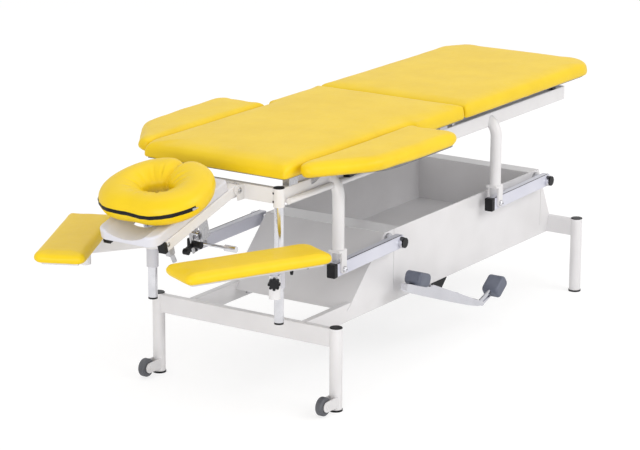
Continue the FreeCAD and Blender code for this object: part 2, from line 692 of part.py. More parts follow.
def main_outline(inset):
    end = SEAM_X - SEAM_GAP / 2
    neck_x = WING_REAR_X + 6
    points = [(PAD_FRONT_X + inset, -PAD_NECK_HALF_W + inset), (neck_x + inset, -PAD_NECK_HALF_W + inset),
              (neck_x + inset, -PAD_HALF_W + inset), (end, -PAD_HALF_W + inset),
              (end, PAD_HALF_W - inset), (neck_x + inset, PAD_HALF_W - inset),
              (neck_x + inset, PAD_NECK_HALF_W - inset), (PAD_FRONT_X + inset, PAD_NECK_HALF_W - inset)]
    radii = [max(FRONT_CORNER - inset, 2), 4, 4, 0, 0, 4, 4, max(FRONT_CORNER - inset, 2)]
    return points, radii


def leg_outline(inset):
    start = SEAM_X + SEAM_GAP / 2
    points = [(start, -PAD_HALF_W + inset), (PAD_REAR_X - inset, -PAD_HALF_W + inset),
              (PAD_REAR_X - inset, PAD_HALF_W - inset), (start, PAD_HALF_W - inset)]
    return points, [0, REAR_CORNER - inset, REAR_CORNER - inset, 0]


def hinge_slots():
    half = EAR_T + 3
    slot = box(SEAM_X - SLOT_HALF, SEAM_X + SLOT_HALF, -TOP_Y - half, -TOP_Y + half,
               BOARD_Z, HINGE_Z + EAR_R + 1.5)
    return [slot, mirrored(slot)]


def main_board():
    points, radii = main_outline(BOARD_INSET)
    return rounded_plan(points, radii, BOARD_Z, BOARD_Z + BOARD_T).cut(hinge_slots())


def main_pad():
    points, radii = main_outline(0)
    solid = rounded_plan(points, radii, PAD_BOTTOM, PAD_TOP)
    return soften(solid, PAD_ROUND, PAD_UNDER_ROUND).cut(hinge_slots() + [main_board()])


def leg_board():
    points, radii = leg_outline(BOARD_INSET)
    return rounded_plan(points, radii, BOARD_Z, BOARD_Z + BOARD_T).cut(hinge_slots())


def leg_pad():
    points, radii = leg_outline(0)
    solid = rounded_plan(points, radii, PAD_BOTTOM, PAD_TOP)
    return soften(solid, PAD_ROUND, PAD_UNDER_ROUND).cut(hinge_slots() + [leg_board()])


def pad_supports():
    blocks = []
    for x in (PAD_FRONT_X + SPACER_L, (PAD_FRONT_X + SEAM_X) / 2, SEAM_X - 2 * SPACER_L):
        blocks.append(box(x, x + SPACER_L, -TOP_OUT, -TOP_OUT + TOP_T, TOP_TOP, BOARD_Z))
    ear = box(SEAM_X - EAR_R, SEAM_X + EAR_R, -TOP_Y - EAR_T, -TOP_Y, TOP_TOP, HINGE_Z)
    ear = ear.fuse(rod(V(SEAM_X, -TOP_Y - EAR_T, HINGE_Z), V(SEAM_X, -TOP_Y, HINGE_Z), EAR_R))
    pin = rod(V(SEAM_X, -TOP_Y - EAR_T, HINGE_Z), V(SEAM_X, -TOP_Y + EAR_T + 1, HINGE_Z), HINGE_PIN_R)
    blocks.append(ear.fuse(pin))
    return Part.makeCompound(blocks + [mirrored(block) for block in blocks])


def leg_frame():
    bar_z = BOARD_Z - LEG_BAR_T
    half = LEG_BAR_T * 0.75
    start = SEAM_X + 2 * EAR_R
    bar = box(start, PAD_REAR_X - 2 * REAR_CORNER, -LEG_BAR_Y - half, -LEG_BAR_Y + half, bar_z, BOARD_Z)
    y0 = -TOP_Y + GAP
    ear = extrude([V(SEAM_X - EAR_R, y0, HINGE_Z), V(SEAM_X + EAR_R, y0, HINGE_Z),
                   V(start + 10, y0, bar_z), V(start, y0, bar_z)], V(0, EAR_T, 0))
    ear = ear.fuse(rod(V(SEAM_X, y0, HINGE_Z), V(SEAM_X, y0 + EAR_T, HINGE_Z), EAR_R))
    ear = ear.cut(rod(V(SEAM_X, y0, HINGE_Z), V(SEAM_X, y0 + EAR_T, HINGE_Z), HINGE_PIN_R + FIT))
    side = bar.fuse(ear)
    reach = TOP_Y - GAP
    cross = box(start, start + 2 * LEG_BAR_T, -reach, reach, bar_z, BOARD_Z)
    rear_x = PAD_REAR_X - 2 * REAR_CORNER - 2 * LEG_BAR_T
    rear = box(rear_x, rear_x + 2 * LEG_BAR_T, -LEG_BAR_Y, LEG_BAR_Y, bar_z, BOARD_Z)
    return side.fuse([mirrored(side), cross, rear])


def wing_plan(inset, z0, z1):
    points = [(WING_FRONT_X + 3 * inset, -WING_INNER_Y - inset),
              (WING_SHOULDER_X + inset / 3, -WING_OUTER_Y + inset),
              (WING_REAR_X - inset, -WING_OUTER_Y + inset), (WING_REAR_X - inset, -WING_INNER_Y - inset)]
    return rounded_plan(points, [WING_CORNER * 0.7, WING_SHOULDER_ROUND, WING_CORNER, WING_CORNER / 4], z0, z1)


def wing_pad():
    pad = soften(wing_plan(0, PAD_BOTTOM, PAD_TOP - WING_SINK), PAD_ROUND, PAD_UNDER_ROUND)
    return pad.cut(wing_plan(WING_BOARD_INSET, BOARD_Z, BOARD_Z + BOARD_T))


def wing_axis(x, length):
    z = BOARD_Z - WING_KNUCKLE
    return V(x - length / 2, -WING_HINGE_Y, z), V(x + length / 2, -WING_HINGE_Y, z)


def wing_board():
    board = wing_plan(WING_BOARD_INSET, BOARD_Z, BOARD_Z + BOARD_T)
    step = WING_KNUCKLE_L + 2 * GAP
    for x in WING_HINGE_XS:
        for side in (-1, 1):
            low, high = wing_axis(x + side * step, WING_KNUCKLE_L)
            knuckle = rod(low, high, WING_KNUCKLE)
            strap = box(low.x, high.x, low.y - 5 * WING_KNUCKLE, low.y, BOARD_Z - 3, BOARD_Z)
            knuckle = knuckle.fuse(strap).cut(rod(low, high, WING_PIN_R + FIT))
            board = board.fuse(knuckle)
    return board


def wing_hinges():
    pieces = []
    for x in WING_HINGE_XS:
        low, high = wing_axis(x, WING_KNUCKLE_L)
        eye = rod(low, high, WING_KNUCKLE - GAP)
        bracket = extrude([V(low.x, -TOP_OUT, TOP_TOP - 16), V(low.x, -TOP_OUT, TOP_TOP - 2),
                           V(low.x, low.y + 1, low.z + 4), V(low.x, low.y - 3, low.z - 3)],
                          V(WING_KNUCKLE_L, 0, 0))
        pin_low, pin_high = wing_axis(x, 3 * WING_KNUCKLE_L)
        pieces.append(eye.fuse([bracket, rod(pin_low, pin_high, WING_PIN_R)]))
    return Part.makeCompound(pieces + [mirrored(piece) for piece in pieces])


def head_point(s, y, n):
    return V(HEAD_X - s, y, HEAD_Z + n)


def head_box(s0, s1, y0, y1, n0, n1):
    return box(HEAD_X - s1, HEAD_X - s0, y0, y1, HEAD_Z + n0, HEAD_Z + n1)


def tilted(shape):
    return turned(shape, V(HEAD_X, 0, HEAD_Z), Y_AXIS, -HEAD_TILT)


def head_bars():
    half = HEAD_BAR_H / 2
    y0 = -HEAD_BAR_Y - HEAD_BAR_W / 2
    y1 = -HEAD_BAR_Y + HEAD_BAR_W / 2
    bar = head_box(0, HEAD_BAR_END, y0, y1, -half, half)
    bar = bar.makeFillet(TUBE_ROUND, edges_along(bar, X_AXIS))
    bar = bar.fuse(rod(head_point(0, y0, 0), head_point(0, y1, 0), half))
    bar = bar.cut(rod(head_point(0, y0, 0), head_point(0, y1, 0), HEAD_PIN_R + FIT))
    inner = HEAD_BAR_Y - HEAD_BAR_W / 2
    ties = [head_box(s, s + 20, -inner, inner, -half, half) for s in (40, HEAD_BAR_END - 24)]
    return tilted(bar.fuse([mirrored(bar)] + ties))


def head_lugs():
    y_in = HEAD_BAR_Y - HEAD_BAR_W / 2 - GAP
    y_out = HEAD_BAR_Y + HEAD_BAR_W / 2 + GAP
    face = TOP_FRONT_X - TOP_T / 2
    pieces = []
    plates = []
    for low, high in ((y_in - LUG_T, y_in), (y_out, y_out + LUG_T)):
        plate = box(HEAD_X, face, low, high, TOP_Z, HEAD_Z + HEAD_LUG_R)
        plates.append(plate.fuse(rod(V(HEAD_X, low, HEAD_Z), V(HEAD_X, high, HEAD_Z), HEAD_LUG_R)))
    pin = rod(V(HEAD_X, y_in - LUG_T, HEAD_Z), V(HEAD_X, y_out + LUG_T, HEAD_Z), HEAD_PIN_R)
    head = rod(V(HEAD_X, y_out + LUG_T, HEAD_Z), V(HEAD_X, y_out + LUG_T + PIN_HEAD_T, HEAD_Z), PIN_HEAD_R)
    lug = plates[0].fuse([plates[1], pin, head])
    pieces += [lug, mirrored(lug)]
    return Part.makeCompound(pieces)


def head_board():
    half = HEAD_BOARD_HALF_W
    x0 = HEAD_X - HEAD_BOARD_END
    x1 = HEAD_X - HEAD_BOARD_START
    low = HEAD_Z + HEAD_BOARD_N
    high = HEAD_Z + HEAD_TOP_N
    plan = rounded_plan([(x0, -half), (x1, -half), (x1, half), (x0, half)],
                        [HEAD_BOARD_CORNER, 12, 12, HEAD_BOARD_CORNER], low, high)
    board = soften(plan, 6, 2)
    hole_x0 = HEAD_X - HEAD_HOLE_END
    hole_x1 = HEAD_X - HEAD_HOLE_START
    hole_w = HEAD_HOLE_HALF_W
    hole = rounded_plan([(hole_x0, -hole_w), (hole_x1, -hole_w), (hole_x1, hole_w), (hole_x0, hole_w)],
                        [hole_w * 0.7] * 4, low - 1, high + 1)
    scoop_r = HEAD_BOARD_HALF_W * 1.4
    scoop_z = high + scoop_r - HEAD_SCOOP
    scoop = rod(V(x0 - 1, 0, scoop_z), V(hole_x0 + 20, 0, scoop_z), scoop_r)
    return tilted(board.cut(hole).cut(scoop))


def head_cushion():
    low = HEAD_Z + HEAD_TOP_N + GAP
    centre = V(HEAD_X - CUSHION_CENTRE, 0, low)
    faces = []
    for half_l, half_w in ((CUSHION_HALF_L, CUSHION_HALF_W), (CUSHION_HOLE_L, CUSHION_HOLE_W)):
        ellipse = Part.Ellipse(centre, half_w, half_l)
        ellipse.rotate(FreeCAD.Placement(centre, FreeCAD.Rotation(Z_AXIS, 90), V(0, 0, 0)))
        faces.append(Part.Face(Part.Wire(ellipse.toShape())))
    outer = faces[0].extrude(V(0, 0, CUSHION_T))
    outer = outer.makeFillet(CUSHION_ROUND, [e for e in outer.Edges if e.Curve.TypeId == "Part::GeomEllipse"])
    inner = faces[1].extrude(V(0, 0, CUSHION_T))
    slit = box(centre.x, centre.x + CUSHION_HALF_L, -CUSHION_SLIT / 2, CUSHION_SLIT / 2,
               low, low + CUSHION_T)
    return tilted(outer.cut(inner).cut(slit))


def head_fittings():
    half = HEAD_BAR_H / 2
    y0 = -HEAD_BAR_Y - HEAD_BAR_W / 2
    plate = head_box(HEAD_SHAFT_S - 18, HEAD_SHAFT_S + 14, y0 + 4, y0 + 9, HEAD_SHAFT_N - 10, -half)
    shaft = rod(head_point(HEAD_SHAFT_S, -HEAD_BAR_Y, HEAD_SHAFT_N),
                head_point(HEAD_SHAFT_S, HEAD_BAR_Y, HEAD_SHAFT_N), HEAD_SHAFT_R)
    block = head_box(276, 296, y0 + 4, y0 + 18, -34, -half)
    stub = rod(head_point(282, y0 + 11, -34), head_point(276, y0 + 11, -58), 6)
    arm = head_box(HEAD_SHAFT_S, HEAD_RACK_S, y0 + 12, y0 + 16, HEAD_SHAFT_N - 6, HEAD_SHAFT_N + 6)
    rack = head_box(HEAD_RACK_S - 8, HEAD_RACK_S, y0 + 12, y0 + 16, HEAD_SHAFT_N - 28, -half)
    return tilted(plate.fuse([mirrored(plate), shaft, block, stub, arm, rack]))


def head_knobs():
    y0 = -HEAD_BAR_Y - HEAD_BAR_W / 2
    half = HEAD_BAR_H / 2
    end = head_box(HEAD_BAR_END, HEAD_BAR_END + 12, y0 - 0.5, y0 + HEAD_BAR_W + 0.5, -half - 0.5, half - 0.5)
    knobs = []
    for s, reach, radius in ((HEAD_RACK_S - 4, 26, 9), (HEAD_RACK_S + 34, 14, 8)):
        start = head_point(s, y0 + 12, HEAD_SHAFT_N - 2)
        knobs.append(rod(start, start - V(0, reach, 0), radius))
    link = head_box(HEAD_RACK_S, HEAD_RACK_S + 34, y0 + 8, y0 + 12, HEAD_SHAFT_N - 8, HEAD_SHAFT_N + 4)
    return tilted(Part.makeCompound([end, mirrored(end), knobs[0].fuse([knobs[1], link])]))


def head_lever():
    inner = -HEAD_BAR_Y + 10
    grip_n = HEAD_SHAFT_N - LEVER_DROP
    start = head_point(HEAD_SHAFT_S, inner + 6, grip_n)
    end = head_point(HEAD_SHAFT_S, inner - LEVER_REACH, grip_n)
    bar = rod(start, end, LEVER_ROD_R)
    grip = rod(end + V(0, 34, 0), end, GRIP_R)
    arm = head_box(HEAD_SHAFT_S - 6, HEAD_SHAFT_S + 6, inner, inner + 6, grip_n, HEAD_SHAFT_N)
    low = head_point(HEAD_SHAFT_S, inner, HEAD_SHAFT_N)
    high = low + V(0, 6, 0)
    eye = rod(low, high, HEAD_SHAFT_R + 5)
    bore = rod(low, high, HEAD_SHAFT_R + FIT)
    return tilted(eye.fuse([arm, bar, grip]).cut(bore))


def post_point(z):
    return V(TOP_FRONT_X, -TOP_Y, z)


def sleeve():
    low = SLEEVE_BOTTOM
    shoulder = low + SLEEVE_H
    top = shoulder + COLLAR_H + 2 * GAP
    body = rod(post_point(low), post_point(shoulder), SLEEVE_R)
    neck = rod(post_point(shoulder), post_point(top), NECK_R)
    flange = rod(post_point(top), post_point(top + 4), SLEEVE_R + 1)
    return body.fuse([neck, flange]).cut(rod(post_point(low), post_point(top + 4), POST_R + FIT))


def swing_end():
    return post_point(0) + V(-SWING_LENGTH, 0, 0)


def swing_arm():
    collar = rod(post_point(SWING_Z), post_point(SWING_Z + COLLAR_H), SWING_COLLAR_R)
    end = swing_end()
    z0 = SWING_Z + (COLLAR_H - SWING_BAR_H) / 2
    bar = box(end.x, TOP_FRONT_X, -TOP_Y - SWING_BAR_T / 2, -TOP_Y + SWING_BAR_T / 2, z0, z0 + SWING_BAR_H)
    top = SWING_Z + COLLAR_H
    bottom = SWING_Z - STEM_SOCKET_DROP
    cup = rod(V(end.x, end.y, bottom), V(end.x, end.y, top), STEM_SOCKET_R)
    arm = collar.fuse([bar, cup])
    arm = arm.cut(rod(post_point(SWING_Z), post_point(top), NECK_R + FIT))
    return arm.cut(rod(V(end.x, end.y, bottom + 4), V(end.x, end.y, top), STEM_R + FIT))


def knob_seat():
    end = swing_end()
    return V(end.x - STEM_SOCKET_R, end.y, SWING_Z + COLLAR_H / 2)


def star_knob():
    seat = knob_seat()
    start = seat - X_AXIS
    end = start - X_AXIS * KNOB_T
    knob = rod(start, end, KNOB_R * 0.72)
    for lobe in range(KNOB_LOBES):
        angle = math.radians(360 * lobe / KNOB_LOBES)
        offset = V(0, math.cos(angle), math.sin(angle)) * (KNOB_R * 0.76)
        knob = knob.fuse(rod(start + offset, end + offset, KNOB_R * 0.24))
    stud = rod(seat - X_AXIS * GAP, start, 3)
    return knob.fuse(stud)


def arm_pad_plan(shift, inset, z0, z1):
    end = swing_end()
    centre_x = end.x - shift
    half_l = ARM_PAD_L / 2 - inset
    half_w = ARM_PAD_W / 2 - inset
    points = [(centre_x - half_l, end.y - half_w), (centre_x + half_l, end.y - half_w),
              (centre_x + half_l, end.y + half_w), (centre_x - half_l, end.y + half_w)]
    return rounded_plan(points, [max(ARM_PAD_CORNER - inset, 3)] * 4, z0, z1)


def arm_pad_board(shift):
    end = swing_end()
    z = ARM_BOARD_Z
    stem = rod(V(end.x, end.y, SWING_Z - STEM_SOCKET_DROP + 4 + GAP), V(end.x, end.y, z), STEM_R)
    flange = rod(V(end.x, end.y, z - 5), V(end.x, end.y, z), STEM_SOCKET_R + 4)
    return arm_pad_plan(shift, ARM_BOARD_INSET, z, z + ARM_BOARD_T).fuse([stem, flange])


def arm_pad(shift):
    z = ARM_BOARD_Z + ARM_BOARD_T
    return soften(arm_pad_plan(shift, 0, z, z + ARM_PAD_T), ARM_PAD_ROUND, 5)


def arm_support(side, swing, shift, raise_by):
    end = swing_end()
    post = post_point(0)
    lift = V(0, 0, raise_by)
    pieces = {"sleeve": sleeve(), "swing_arm": swing_arm(), "star_knob": star_knob(),
              "arm_pad_board": arm_pad_board(shift), "arm_pad": arm_pad(shift)}
    for name, shape in pieces.items():
        if name in ("arm_pad", "arm_pad_board"):
            shape = turned(shape, end, Z_AXIS, -ARM_PAD_TURN - swing)
        if name != "sleeve":
            shape = turned(shape, post, Z_AXIS, swing)
        shape = shape.translated(lift)
        if side == "far":
            shape = mirrored(shape)
        save(name + "_" + side, shape)


def lever_point(along, up):
    return V(PUMP_X + along * PUMP_END_X + up * PUMP_END_Z, -LEVER_Y, PUMP_Z - along * PUMP_END_Z + up * PUMP_END_X)


def lever_profile(offset, low_lift, high_lift):
    h = LEVER_H / 2
    bend = LEVER_RIGHT
    low = [(-LEVER_LEFT, -0.6 * h), (-0.9 * LEVER_LEFT, -0.88 * h), (-0.37 * LEVER_LEFT, -0.97 * h),
           (-0.07 * LEVER_LEFT, -h), (0.42 * bend, -0.98 * h), (0.77 * bend, -0.83 * h), (0.98 * bend, -0.5 * h)]
    high = [(bend, 0), (0.77 * bend, 0.1 * h), (0, 0.58 * h), (-0.5 * LEVER_LEFT, 1.05 * h),
            (-0.55 * LEVER_LEFT, 0.66 * h), (-LEVER_LEFT, 0.4 * h)]
    return [lever_point(a, u + low_lift) - offset for a, u in low] + \
           [lever_point(a, u + high_lift) - offset for a, u in high]


def rod_step(reach):
    angle = math.radians(ROD_RISE)
    return V(math.cos(angle), 0, math.sin(angle)) * reach


def lever_tip():
    return lever_point(LEVER_RIGHT - 2 * PUMP_ROD_R, -PUMP_ROD_R / 2)


def pump_lever():
    half = V(0, LEVER_T / 2, 0)
    web = 3.0
    channel = extrude(lever_profile(half, 0, 0), half * 2)
    hollow_half = half - V(0, web, 0)
    hollow = extrude(lever_profile(hollow_half, web, LEVER_H), hollow_half * 2)
    ends = extrude([lever_point(-LEVER_LEFT + web, -LEVER_H) - half, lever_point(-LEVER_LEFT + web, LEVER_H) - half,
                    lever_point(LEVER_RIGHT - 3 * PUMP_ROD_R, LEVER_H) - half,
                    lever_point(LEVER_RIGHT - 3 * PUMP_ROD_R, -LEVER_H) - half], half * 2)
    channel = channel.cut(hollow.common(ends))
    boss = rod(V(PUMP_X, -LEVER_Y - LEVER_T / 2, PUMP_Z), V(PUMP_X, -LEVER_Y + LEVER_T / 2 + 6, PUMP_Z), 12)
    shaft = rod(V(PUMP_X, -LEVER_Y, PUMP_Z), V(PUMP_X, -RAIL_IN + 12, PUMP_Z), PUMP_SHAFT_R)
    tip = lever_tip()
    right_rod = rod(tip, tip + rod_step(ROD_UP), PUMP_ROD_R)
    under = V(0, 0, -1.4 * PUMP_ROD_R)
    tongue = extrude([tip + under - half, tip + under + rod_step(ROD_UP * 0.55) - half,
                      tip + under * 0.6 + rod_step(ROD_UP * 0.55) - half, tip - half], half * 2)
    return channel.fuse([boss, shaft, right_rod, tongue])


def pedal(centre, tilt):
    corner = centre - V(PEDAL_L / 2, PEDAL_W / 2, PEDAL_T / 2)
    body = Part.makeBox(PEDAL_L, PEDAL_W, PEDAL_T, corner)
    body = body.makeFillet(PEDAL_ROUND, edges_along(body, Y_AXIS))
    rims = [e for e in body.Edges if all(abs(v.Y - body.BoundBox.YMin) < 1e-4 for v in e.Vertexes)
            or all(abs(v.Y - body.BoundBox.YMax) < 1e-4 for v in e.Vertexes)]
    return turned(body.makeFillet(PEDAL_ROUND * 0.6, rims), centre, Y_AXIS, tilt)


def pump_pedals():
    right = lever_tip() + rod_step(ROD_UP)
    left = lever_point(-LEVER_LEFT + PEDAL_L * 1.05, LEVER_H * 0.22 + PEDAL_T / 2)
    lever = pump_lever()
    pads = [pedal(right, -2 * ROD_RISE).cut(lever), pedal(left, LEVER_SLOPE).cut(lever)]
    return Part.makeCompound(pads)


save("base_legs", base_legs())
save("leg_caps", leg_caps())
save("leg_feet", leg_feet())
save("base_cross_front", base_cross(LEG_FRONT_X))
save("base_cross_rear", base_cross(LEG_REAR_X))
save("base_rails", base_rails())
save("wheel_forks", pair(wheel_fork()))
save("wheel_near", wheel())
save("wheel_far", mirrored(wheel()))
save("housing_front", housing_front())
save("housing_rear", housing_rear())
save("housing_sides", housing_sides())
save("tray", tray())
save("shaft_bearings", shaft_bearings())
save("hydraulic_unit", hydraulic_unit())

for name, x in (("front", SHAFT_FRONT_X), ("rear", SHAFT_REAR_X)):
    save(name + "_arms", lift_arm(x))
    save(name + "_shaft", torque_shaft(x))
    save(name + "_arm_caps", arm_caps(x))

save("front_hangers", hanger(PIN_FRONT_X))
save("rear_hangers", hanger(PIN_REAR_X))
save("hanger_pins", hanger_pins())
save("top_rails", top_rails())
save("top_cross_tubes", top_cross_tubes())
save("corner_sockets", corner_sockets())
save("arm_posts", arm_posts())
save("side_rods", side_rods())
save("black_fittings", black_fittings())
save("main_board", main_board())
save("main_pad", main_pad())
save("pad_supports", pad_supports())
save("leg_board", leg_board())
save("leg_pad", leg_pad())
save("leg_frame", leg_frame())

save("wing_hinges", wing_hinges())
save("wing_board_near", wing_board())
save("wing_board_far", mirrored(wing_board()))
save("wing_pad_near", wing_pad())
save("wing_pad_far", mirrored(wing_pad()))

save("head_lugs", head_lugs())
save("head_bars", head_bars())
save("head_board", head_board())
save("head_cushion", head_cushion())
save("head_fittings", head_fittings())
save("head_knobs", head_knobs())
save("head_lever", head_lever())

arm_support("near", NEAR_SWING, NEAR_PAD_SHIFT, NEAR_RAISE)
arm_support("far", FAR_SWING, FAR_PAD_SHIFT, 0.0)

save("pump_lever", pump_lever())
save("pump_pedals", pump_pedals())
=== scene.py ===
import json
import math

import bmesh
import bpy
from mathutils import Matrix, Vector, noise
from mathutils.bvhtree import BVHTree


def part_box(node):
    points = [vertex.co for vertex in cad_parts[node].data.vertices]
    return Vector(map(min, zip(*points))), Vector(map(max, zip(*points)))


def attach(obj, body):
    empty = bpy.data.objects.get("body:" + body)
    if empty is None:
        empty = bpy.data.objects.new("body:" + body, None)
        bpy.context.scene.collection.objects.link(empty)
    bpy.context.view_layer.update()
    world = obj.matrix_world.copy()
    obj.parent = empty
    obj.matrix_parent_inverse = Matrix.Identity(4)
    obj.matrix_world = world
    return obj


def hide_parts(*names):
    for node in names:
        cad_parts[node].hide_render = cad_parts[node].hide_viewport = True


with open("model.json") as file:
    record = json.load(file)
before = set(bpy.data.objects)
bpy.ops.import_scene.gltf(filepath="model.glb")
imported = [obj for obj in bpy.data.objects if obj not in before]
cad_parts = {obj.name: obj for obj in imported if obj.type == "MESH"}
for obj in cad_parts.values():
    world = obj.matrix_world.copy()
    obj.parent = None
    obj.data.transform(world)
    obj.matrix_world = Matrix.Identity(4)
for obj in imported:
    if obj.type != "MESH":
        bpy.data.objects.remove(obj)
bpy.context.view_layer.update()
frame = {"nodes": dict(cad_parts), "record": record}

# Sizes shared with the frame, in metres
PAD_Z0 = 0.634
PAD_Z1 = 0.676
HEAD_AT = Vector((-0.613, 0.0, 0.600))
HEAD_TILT = math.radians(15.5)
ARM_X = -0.578
ARM_Y = 0.200
SWING_L = 0.183
PAD_SHIFT = {"near": 0.070, "far": 0.103}
ARM_PAD_TURN = math.radians(26.0)
SIDES = {"near": -1.0, "far": 1.0}
SWINGS = {"near": math.radians(31.0), "far": math.radians(34.0)}
ARM_PAD_Z = {side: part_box("arm_pad_" + side)[0].z for side in ("near", "far")}


# Materials

def shader(name):
    made = bpy.data.materials.new(name)
    made.use_nodes = True
    tree = made.node_tree
    tree.nodes.clear()
    out = tree.nodes.new("ShaderNodeOutputMaterial")
    bsdf = tree.nodes.new("ShaderNodeBsdfPrincipled")
    tree.links.new(bsdf.outputs[0], out.inputs[0])
    return made, tree, bsdf


def noise_node(tree, scale, detail=4.0, stretch=(1, 1, 1), kind="ShaderNodeTexNoise"):
    coords = tree.nodes.new("ShaderNodeTexCoord")
    mapping = tree.nodes.new("ShaderNodeMapping")
    mapping.inputs["Scale"].default_value = stretch
    tex = tree.nodes.new(kind)
    tex.inputs["Scale"].default_value = scale
    if kind == "ShaderNodeTexNoise":
        tex.inputs["Detail"].default_value = detail
    tree.links.new(coords.outputs["Object"], mapping.inputs["Vector"])
    tree.links.new(mapping.outputs["Vector"], tex.inputs["Vector"])
    return tex


def ramp(tree, source, low, high):
    """Colour between low and high, over the middle of the source's range."""
    node = tree.nodes.new("ShaderNodeValToRGB")
    node.color_ramp.elements[0].position = 0.35
    node.color_ramp.elements[1].position = 0.65
    node.color_ramp.elements[0].color = (*low, 1)
    node.color_ramp.elements[1].color = (*high, 1)
    tree.links.new(source, node.inputs[0])
    return node.outputs[0]


def bump(tree, bsdf, layers):
    """Chain of bumps; each layer is a source, its strength and its height in metres."""
    last = None
    for source, strength, distance in layers:
        node = tree.nodes.new("ShaderNodeBump")
        node.inputs["Strength"].default_value = strength
        node.inputs["Distance"].default_value = distance
        tree.links.new(source, node.inputs["Height"])
        if last is not None:
            tree.links.new(last, node.inputs["Normal"])
        last = node.outputs["Normal"]
    tree.links.new(last, bsdf.inputs["Normal"])


def vary_roughness(tree, bsdf, source, low, high):
    node = tree.nodes.new("ShaderNodeMapRange")
    node.inputs["To Min"].default_value = low
    node.inputs["To Max"].default_value = high
    tree.links.new(source, node.inputs["Value"])
    tree.links.new(node.outputs[0], bsdf.inputs["Roughness"])


def vinyl_material():
    made, tree, bsdf = shader("yellow_vinyl")
    soft = noise_node(tree, 9.0, 3.0)
    grain = noise_node(tree, 1150.0, kind="ShaderNodeTexVoronoi")
    cloudy = noise_node(tree, 60.0, 5.0)
    colour = ramp(tree, soft.outputs["Fac"], (0.79, 0.545, 0.003), (0.83, 0.585, 0.006))
    tree.links.new(colour, bsdf.inputs["Base Color"])
    vary_roughness(tree, bsdf, cloudy.outputs["Fac"], 0.38, 0.50)
    bsdf.inputs["Specular IOR Level"].default_value = 0.36
    bump(tree, bsdf, [(cloudy.outputs["Fac"], 0.10, 0.0015),
                      (grain.outputs["Distance"], 0.22, 0.00025)])
    return made


def paint_material(name, low, high, rough=(0.30, 0.42), coat=0.25):
    """Paint or smooth moulding with a faint orange peel."""
    made, tree, bsdf = shader(name)
    broad = noise_node(tree, 7.0, 3.0)
    peel = noise_node(tree, 420.0, 2.0)
    tree.links.new(ramp(tree, broad.outputs["Fac"], low, high), bsdf.inputs["Base Color"])
    vary_roughness(tree, bsdf, broad.outputs["Fac"], *rough)
    bsdf.inputs["Coat Weight"].default_value = coat
    bsdf.inputs["Coat Roughness"].default_value = 0.2
    bump(tree, bsdf, [(peel.outputs["Fac"], 0.12, 0.0002)])
    return made


def metal_material(name, low, high, rough, stretch=(1, 1, 1), scale=60.0, depth=0.00008):
    """Bare or plated metal with fine marks; stretch draws them out to a grain."""
    made, tree, bsdf = shader(name)
    marks = noise_node(tree, scale, 6.0, stretch)
    tree.links.new(ramp(tree, marks.outputs["Fac"], low, high), bsdf.inputs["Base Color"])
    bsdf.inputs["Metallic"].default_value = 1.0
    vary_roughness(tree, bsdf, marks.outputs["Fac"], *rough)
    bump(tree, bsdf, [(marks.outputs["Fac"], 0.25, depth)])
    return made


def plastic_material(name, low, high, rough, grain=900.0, depth=0.00012, shine=0.5):
    made, tree, bsdf = shader(name)
    broad = noise_node(tree, 25.0, 4.0)
    fine = noise_node(tree, grain, 2.0)
    tree.links.new(ramp(tree, broad.outputs["Fac"], low, high), bsdf.inputs["Base Color"])
    vary_roughness(tree, bsdf, broad.outputs["Fac"], *rough)
    bsdf.inputs["Specular IOR Level"].default_value = shine
    bump(tree, bsdf, [(fine.outputs["Fac"], 0.35, depth)])
    return made


VINYL = vinyl_material()
WHITE = paint_material("white_paint", (0.70, 0.692, 0.70), (0.745, 0.738, 0.748))
SHELL = paint_material("pale_moulding", (0.62, 0.625, 0.68), (0.67, 0.675, 0.73), (0.35, 0.48), 0.1)
SILVER = paint_material("silver_paint", (0.50, 0.50, 0.545), (0.57, 0.57, 0.61), (0.28, 0.36), 0.5)
ANODIZED = paint_material("anodized", (0.58, 0.59, 0.68), (0.64, 0.65, 0.73), (0.24, 0.34), 0.3)
BRUSHED = metal_material("brushed_steel", (0.50, 0.50, 0.52), (0.62, 0.62, 0.64), (0.26, 0.40),
                         (1, 60, 60), 14.0)
POLISHED = metal_material("polished_aluminium", (0.56, 0.56, 0.60), (0.60, 0.60, 0.64), (0.15, 0.20),
                          scale=16.0, depth=0.000002)
CHROME = metal_material("chrome", (0.62, 0.62, 0.65), (0.72, 0.72, 0.75), (0.10, 0.18),
                        scale=30.0, depth=0.00004)
ZINC = metal_material("zinc", (0.42, 0.42, 0.44), (0.56, 0.56, 0.58), (0.28, 0.42), scale=220.0)
BLACK = plastic_material("black_plastic", (0.004, 0.004, 0.005), (0.009, 0.009, 0.011), (0.34, 0.46),
                         shine=0.22)
BOARD = plastic_material("board_edge", (0.13, 0.135, 0.15), (0.19, 0.195, 0.21), (0.5, 0.65), 500.0)
PEDAL = plastic_material("pedal_rubber", (0.100, 0.112, 0.152), (0.130, 0.144, 0.188), (0.46, 0.56),
                         700.0, 0.0002)
TYRE = plastic_material("tyre_rubber", (0.075, 0.078, 0.09), (0.105, 0.11, 0.122), (0.5, 0.62),
                        700.0, 0.0002)

SLOTS = {"white_paint": WHITE, "black_plastic": BLACK, "brushed": BRUSHED, "chrome": CHROME,
         "zinc": ZINC, "vinyl": VINYL, "board": BOARD, "pedal_rubber": PEDAL, "tyre": TYRE}
SLOT_OF = {entry["node"]: entry["material_slot"] for entry in frame["record"]["subparts"]}


def dress(obj, material):
    obj.data.materials.clear()
    obj.data.materials.append(material)


for node, obj in frame["nodes"].items():
    for slot in obj.material_slots:
        slot.material = SLOTS[SLOT_OF[node]]
